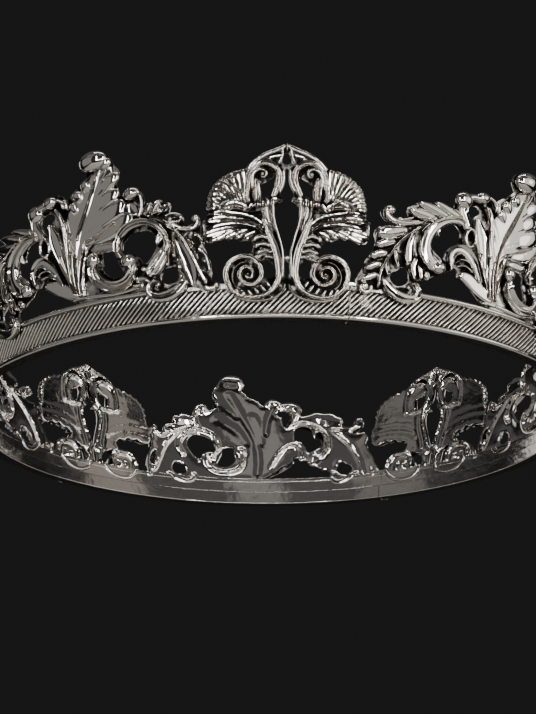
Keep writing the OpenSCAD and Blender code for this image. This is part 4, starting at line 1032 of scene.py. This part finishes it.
class CROWN_OT_ribbed_strips(bpy.types.Operator):
    """Make the five ribbed strips, ribs slanting up to the right outside and plain inside"""
    bl_idname = "crown.ribbed_strips"
    bl_label = "Ribbed strips"

    def execute(self, context):
        # plated strip pressed into ribs: plain silver on each rib, and oxide and painted shade
        # between them
        metal = finish("plated_pressed_strip", "silver", gloss=0.13)
        for k in range(1, PANELS + 1):
            surface = self.strip(context.scene.crown_sizes, *panel_span(k))
            make_piece("ribbed_strip", k, surface, metal)
        return {"FINISHED"}

    @staticmethod
    def strip(sizes, start, end):
        """Each column follows a rib: it starts at a and runs up the slant to
        a + slant (v - v0), held between the strip's two ends. The outer face's height is
        sqrt(1 - x^2), where x is the place across the rib, up to 0.36 of the pitch each side
        of its crest. Crests stand proud of the band's face, and the inner face is plain."""
        pitch, deep = sizes.rib_pitch / MM, sizes.rib_height / MM
        proud = 0.18
        foot = sizes.lower_rail_height / MM
        head = (sizes.band_height - sizes.upper_rail_height) / MM
        ribs = int(np.ceil((end - start + (head - foot) * sizes.rib_slant) / pitch)) + 1
        share = np.array([0, .1, .2, .32, .5, .68, .8, .9])
        columns = ((np.arange(ribs)[:, None] + share).ravel() - ribs) * pitch + end + .5 * pitch
        # at the rails the ribs are almost flat, and 0.25 mm away they are nearly full height
        heights = np.array([foot, foot + .25, foot + 1.6, (foot + head) / 2, head - 1.6,
                            head - .25, head])
        fade = np.array([.15, .9, 1, 1, 1, .9, .15])
        slide = sizes.rib_slant * (heights - foot)
        u = np.clip(columns[:, None] + slide, start, end)
        place = ((u - slide - columns[0]) / pitch) % 1
        crest = np.sqrt(np.clip(1 - ((place - .5) / .36) ** 2, 0, 1))
        outer = np.stack([u, np.broadcast_to(heights, u.shape),
                          proud - deep + deep * crest * fade], -1)
        two = (len(u), 2)
        plain = np.stack([u[:, [-1, 0]], np.broadcast_to(heights[[-1, 0]], two),
                          np.full(two, -sizes.strip_thickness / MM)], -1)
        # grooves between the ribs are darkened with oxide and painted shade, and the crests left
        # bright
        shade = np.concatenate([np.clip(1.15 - crest * 1.3, 0, 1) * np.ones_like(u),
                                np.full(two, .25)], 1)
        return skin(np.concatenate([outer, plain], 1), shade)


class CROWN_OT_upper_rails(bpy.types.Operator):
    """Make the five upper rails with a half-round bead where no crest foot covers them"""
    bl_idname = "crown.upper_rails"
    bl_label = "Upper rails"

    # stretches without a crest foot, from the middle of the leaf crest
    bead_spans = ((-34.8, -33.6), (-18.9, 17.3))

    def execute(self, context):
        sizes = context.scene.crown_sizes
        t, top = sizes.strip_thickness / MM, sizes.band_height / MM
        low = top - sizes.upper_rail_height / MM
        half = (top - low) / 2
        centre = low + half
        soft = .15
        core = [(-t + soft, low), (0, low), (0, top - .1), (-.1, top), (-t + soft, top),
                (-t, top - soft), (-t, low + soft)]
        # darker under the bead and where the core meets the strip: oxide and painted shade
        core_shades = [.4, .6, .6, .3, .1, .1, .4]
        # half an ellipse, a little deeper than round, with its two ends inside the core
        turn = np.linspace(-np.pi / 2, np.pi / 2, 9)
        bead = [(-.3, centre - half * .9),
                *zip(np.cos(turn) * half * 1.05, centre + np.sin(turn) * half * .9),
                (-.3, centre + half * .9)]
        # the bead darkens where its ends tuck into the core: oxide and painted shade
        bead_shades = [.9, .5, .3, .1, 0, 0, 0, .1, .3, .5, .9]
        leaf_step = np.radians(PANEL_ANGLE / 2) * DRAWN_R
        for k in range(1, PANELS + 1):
            middle = k * 2 * leaf_step - leaf_step
            beads = [ring_section(bead, middle + first, middle + last, bead_shades)
                     for first, last in self.bead_spans]
            rail = ring_section(core, *panel_span(k), core_shades)
            make_piece("upper_rail", k, joined([rail, *beads]), rail_finish())
        return {"FINISHED"}


# ---------------------------------------------------------------- crests
# Foot straps stand out behind the band from this depth
BACK_W = -1.5


def turned_over(rows):
    """A closed line with u turned to -u."""
    return [(-u, v) for u, v in rows]


def both_halves(rows):
    """A right half from top to bottom, closed by its mirror image."""
    return list(rows) + turned_over(rows[-2:0:-1])


class CROWN_OT_shell_crests(bpy.types.Operator):
    """Make the five shell crests: fans, leaf bands and volutes each side of a keyhole"""
    bl_idname = "crown.shell_crests"
    bl_label = "Shell crests"

    def execute(self, context):
        half = [strap(*row) for row in SHELL_HALF_STRAPS]
        half += [dome(*row) for row in SHELL_HALF_BALLS]
        half += spray(FAN_ROOT, FAN_TIP, 10, 1.35)
        half += [behind(strap(*row), BACK_W) for row in SHELL_FOOT_STRAPS]
        holes = [*map(both_halves, (KEYHOLE_HALF, CAP_HOLE_HALF, SLOT_HALF)),
                 *SHELL_SIDE_HOLES, *map(turned_over, SHELL_SIDE_HOLES)]
        plate = crest_plate(both_halves(SHELL_EDGE_HALF), holes,
                            context.scene.crown_sizes.crest_back / MM, SHELL_BACK_RIDGES, True)
        # a ball closes the keyhole's foot, and a short rod stands on the cap
        surface = settle_oxide_and_shade(joined([
            plate, *half, *map(mirror, half), dome(0, 13.3, .7, .75, .75, .8),
            strap("round", .3, 1.7, (0, 39.7, .25), (0, 38.7), (0, 37.7, .2))]))
        # plated casting with fine chasing: small glints that break up, a little greyer, so
        # its pebble is closer and shallower
        metal = finish("plated_shell_casting", "silver", tint=0.86, pebble=700.0,
                       pebble_depth=0.00008)
        for k in range(1, PANELS + 1):
            make_piece("shell_crest", k, surface, metal, k * PANEL_ANGLE)
        return {"FINISHED"}


class CROWN_OT_leaf_crests(bpy.types.Operator):
    """Make the five leaf crests: a tall rolled leaf between C-scrolls, ferns and hooks"""
    bl_idname = "crown.leaf_crests"
    bl_label = "Leaf crests"

    def execute(self, context):
        pieces = [crest_plate(LEAF_EDGE, LEAF_HOLES,
                              context.scene.crown_sizes.crest_back / MM, LEAF_BACK_RIDGES,
                              False),
                  leaf(TALL_LEAF_LEFT, TALL_LEAF_RIB, TALL_LEAF_RIGHT, 1.0, .35)]
        pieces += [strap(*row) for row in LEAF_STRAPS]
        pieces += [dome(*row) for row in LEAF_BALLS]
        pieces += [behind(strap(*row), BACK_W) for row in LEAF_FOOT_STRAPS]
        surface = settle_oxide_and_shade(joined(pieces))
        # plated casting with broad polished faces: the brightest and clearest reflections
        metal = finish("plated_leaf_casting", "silver", gloss=0.09)
        for k in range(1, PANELS + 1):
            make_piece("leaf_crest", k, surface, metal, (k - 0.5) * PANEL_ANGLE)
        return {"FINISHED"}


class CROWN_OT_seam_metal(bpy.types.Operator):
    """Give the eyelets and pegs at the seams their solder finish"""
    bl_idname = "crown.seam_metal"
    bl_label = "Seam eyelets and pegs"

    def execute(self, context):
        # soft solder run over the joints: bright and a little blurred. The joints have no recess
        # attribute, so they get neither oxide nor painted shade
        metal = finish("plated_seam_solder", "solder", gloss=0.18)
        for name in ("seam_eyelets", "seam_pegs"):
            for material_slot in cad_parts[name].material_slots:
                material_slot.material = metal
        return {"FINISHED"}


# ---------------------------------------------------------------- stage
LIGHT_AIM = (0, 0, 0.02)
# Name, place, width and height in metres, radiance as so many times the key's, and colour.
# Strips put the sharp bright lines on the metal, and softboxes its broad tones.
WARM, SOFT_WARM, FAINT_WARM, WHITE = (1, .97, .93), (1, .97, .94), (1, .98, .96), (1, 1, 1)
LIGHTS = (
    ("right_softbox", (1.0, -0.36, 0.08), 0.4, 0.45, 0.5, WARM),
    ("right_glow", (1.3, -0.6, 0.12), 1.6, 1.3, 0.33, SOFT_WARM),
    ("left_softbox", (-1.0, -0.38, 0.05), 1.0, 1.0, 0.07, (1, .98, .97)),
    ("front_softbox", (0.0, -1.4, 0.0), 0.7, 0.45, 0.05, FAINT_WARM),
    ("right_strip", (0.62, -1.1, 0.1), 0.08, 0.9, 10.0, FAINT_WARM),
    ("left_strip", (-0.5, -1.15, 0.12), 0.06, 0.9, 11.0, WHITE),
    ("low_strip", (0.0, -1.1, -0.26), 0.9, 0.045, 9.0, WHITE),
    ("top_softbox", (0.85, -0.25, 0.8), 0.5, 0.5, 0.07, (1, .91, .84)),
    ("upper_left_softbox", (-0.75, -0.45, 0.7), 0.5, 0.4, 0.035, (1, .94, .9)),
    ("upper_front_softbox", (0.05, -0.85, 0.75), 0.35, 0.3, 0.05, (1, .97, .95)),
    ("back_left_softbox", (-0.85, 0.95, 0.35), 0.7, 0.6, 0.25, FAINT_WARM),
    ("back_right_softbox", (0.95, 0.9, 0.3), 0.5, 0.6, 0.3, SOFT_WARM),
    ("overhead_strip", (0.0, -0.2, 0.9), 0.9, 0.05, 4.0, WHITE),
)
CAMERA_PLACE = (-0.0255, -0.5933, -0.1889)
# Radians: compass direction from +Y, rise, tilt, and a last turn about the upright
CAMERA_YAW, CAMERA_PITCH, CAMERA_ROLL, CAMERA_TURN = -0.00175, 0.3348, -0.005, -0.043


def soft_light(name, place, wide, high, radiance, rgb):
    """Rectangular softbox that faces the aim. Its power is pi times area times radiance."""
    lamp = bpy.data.lights.new(name, "AREA")
    lamp.shape = "RECTANGLE"
    lamp.size, lamp.size_y = wide, high
    lamp.energy = np.pi * wide * high * radiance
    lamp.color = rgb
    light = bpy.data.objects.new(name, lamp)
    forward = np.subtract(LIGHT_AIM, place) / np.linalg.norm(np.subtract(LIGHT_AIM, place))
    right = np.cross(forward, (0, 0, 1))
    right /= np.linalg.norm(right)
    turn = Matrix(np.stack([right, np.cross(right, forward), -forward], -1).tolist())
    light.matrix_world = Matrix.Translation(place) @ turn.to_4x4()
    bpy.context.scene.collection.objects.link(light)


class CROWN_OT_studio(bpy.types.Operator):
    """Set up the pale floor, the soft lights and the camera"""
    bl_idname = "crown.studio"
    bl_label = "Studio"

    def execute(self, context):
        studio = context.scene.crown_studio
        self.floor(studio)
        self.room(context, studio)
        for name, place, wide, high, times, rgb in LIGHTS:
            soft_light(name, place, wide, high, times * studio.key_power, rgb)
        self.camera(context)
        return {"FINISHED"}

    @staticmethod
    def room(context, studio):
        """A room that is dark round the horizon and brighter overhead: it changes over a z of
        the direction from 0.47 to 0.61, which is 28 to 37 degrees up."""
        world = bpy.data.worlds.new("studio_room")
        world.use_nodes = True
        tree = world.node_tree
        place = add_node(tree, "ShaderNodeTexCoord")
        height = add_node(tree, "ShaderNodeSeparateXYZ", Vector=(place, "Generated"))
        glow = add_node(tree, "ShaderNodeMapRange", {"interpolation_type": "SMOOTHSTEP",
                        "From Min": 0.47, "From Max": 0.61, "To Min": studio.room,
                        "To Max": studio.ceiling}, Value=(height, "Z"))
        tree.links.new(glow.outputs["Result"], tree.nodes["Background"].inputs["Color"])
        context.scene.world = world

    @staticmethod
    def floor(studio, half=0.5, top=-0.3, thick=0.004):
        """A square of paper well below the crown and the camera, shut into a thin slab."""
        x, y = np.meshgrid((-half, half), (-half, half), indexing="ij")
        points = np.concatenate([np.column_stack([x.ravel(), y.ravel(), np.full(4, z)])
                                 for z in (top, top - thick)])
        faces = [(0, 2, 3, 1), (4, 5, 7, 6), (0, 1, 5, 4), (1, 3, 7, 5), (3, 2, 6, 7),
                 (2, 0, 4, 6)]
        mesh = bpy.data.meshes.new("paper_floor")
        mesh.from_pydata(points.tolist(), [], faces)
        mesh.materials.append(painted_paper(list(studio.floor)))
        sheet = bpy.data.objects.new("paper_floor", mesh)
        bpy.context.scene.collection.objects.link(sheet)

    @staticmethod
    def camera(context):
        """Camera below the rim, looking up at the crown."""
        yaw, pitch, roll = CAMERA_YAW, CAMERA_PITCH, CAMERA_ROLL
        ahead = np.array([np.sin(yaw) * np.cos(pitch), np.cos(yaw) * np.cos(pitch),
                          np.sin(pitch)])
        right = np.array([np.cos(yaw), -np.sin(yaw), 0])
        up = np.cross(right, ahead)
        axes = np.stack([right * np.cos(roll) + up * np.sin(roll),
                         up * np.cos(roll) - right * np.sin(roll), -ahead], -1)
        lens = bpy.data.cameras.new("studio_camera")
        lens.lens, lens.sensor_width, lens.sensor_fit = 165.0, 36.0, "HORIZONTAL"
        lens.clip_start, lens.clip_end = 0.01, 20
        camera = bpy.data.objects.new("studio_camera", lens)
        camera.matrix_world = (Matrix.Translation(CAMERA_PLACE)
                               @ Matrix.Rotation(CAMERA_TURN, 4, "Z")
                               @ Matrix(axes.tolist()).to_4x4())
        context.scene.collection.objects.link(camera)
        context.scene.camera = camera


class CROWN_PT_panel(bpy.types.Panel):
    """Sizes, finishes and makers of the crown"""
    bl_label = "Dress Crown"
    bl_idname = "CROWN_PT_panel"
    bl_space_type = "VIEW_3D"
    bl_region_type = "UI"
    bl_category = "Crown"

    def draw(self, context):
        for maker in MAKERS:
            self.layout.operator(maker.bl_idname)
        for group in (context.scene.crown_sizes, context.scene.crown_finish,
                      context.scene.crown_studio):
            box = self.layout.box()
            for key in group.__annotations__:
                box.prop(group, key)


MAKERS = (CROWN_OT_lower_rails, CROWN_OT_ribbed_strips, CROWN_OT_upper_rails,
          CROWN_OT_shell_crests, CROWN_OT_leaf_crests, CROWN_OT_seam_metal, CROWN_OT_studio)
CLASSES = (CrownSizes, CrownFinish, CrownStudio, *MAKERS, CROWN_PT_panel)


def register():
    for cls in CLASSES:
        bpy.utils.register_class(cls)
    bpy.types.Scene.crown_sizes = bpy.props.PointerProperty(type=CrownSizes)
    bpy.types.Scene.crown_finish = bpy.props.PointerProperty(type=CrownFinish)
    bpy.types.Scene.crown_studio = bpy.props.PointerProperty(type=CrownStudio)


def unregister():
    del bpy.types.Scene.crown_studio, bpy.types.Scene.crown_finish, bpy.types.Scene.crown_sizes
    for cls in reversed(CLASSES):
        bpy.utils.unregister_class(cls)


def main():
    """Run every maker in order."""
    register()
    for maker in MAKERS:
        group, name = maker.bl_idname.split(".")
        getattr(getattr(bpy.ops, group), name)()


if __name__ == "__main__":
    main()
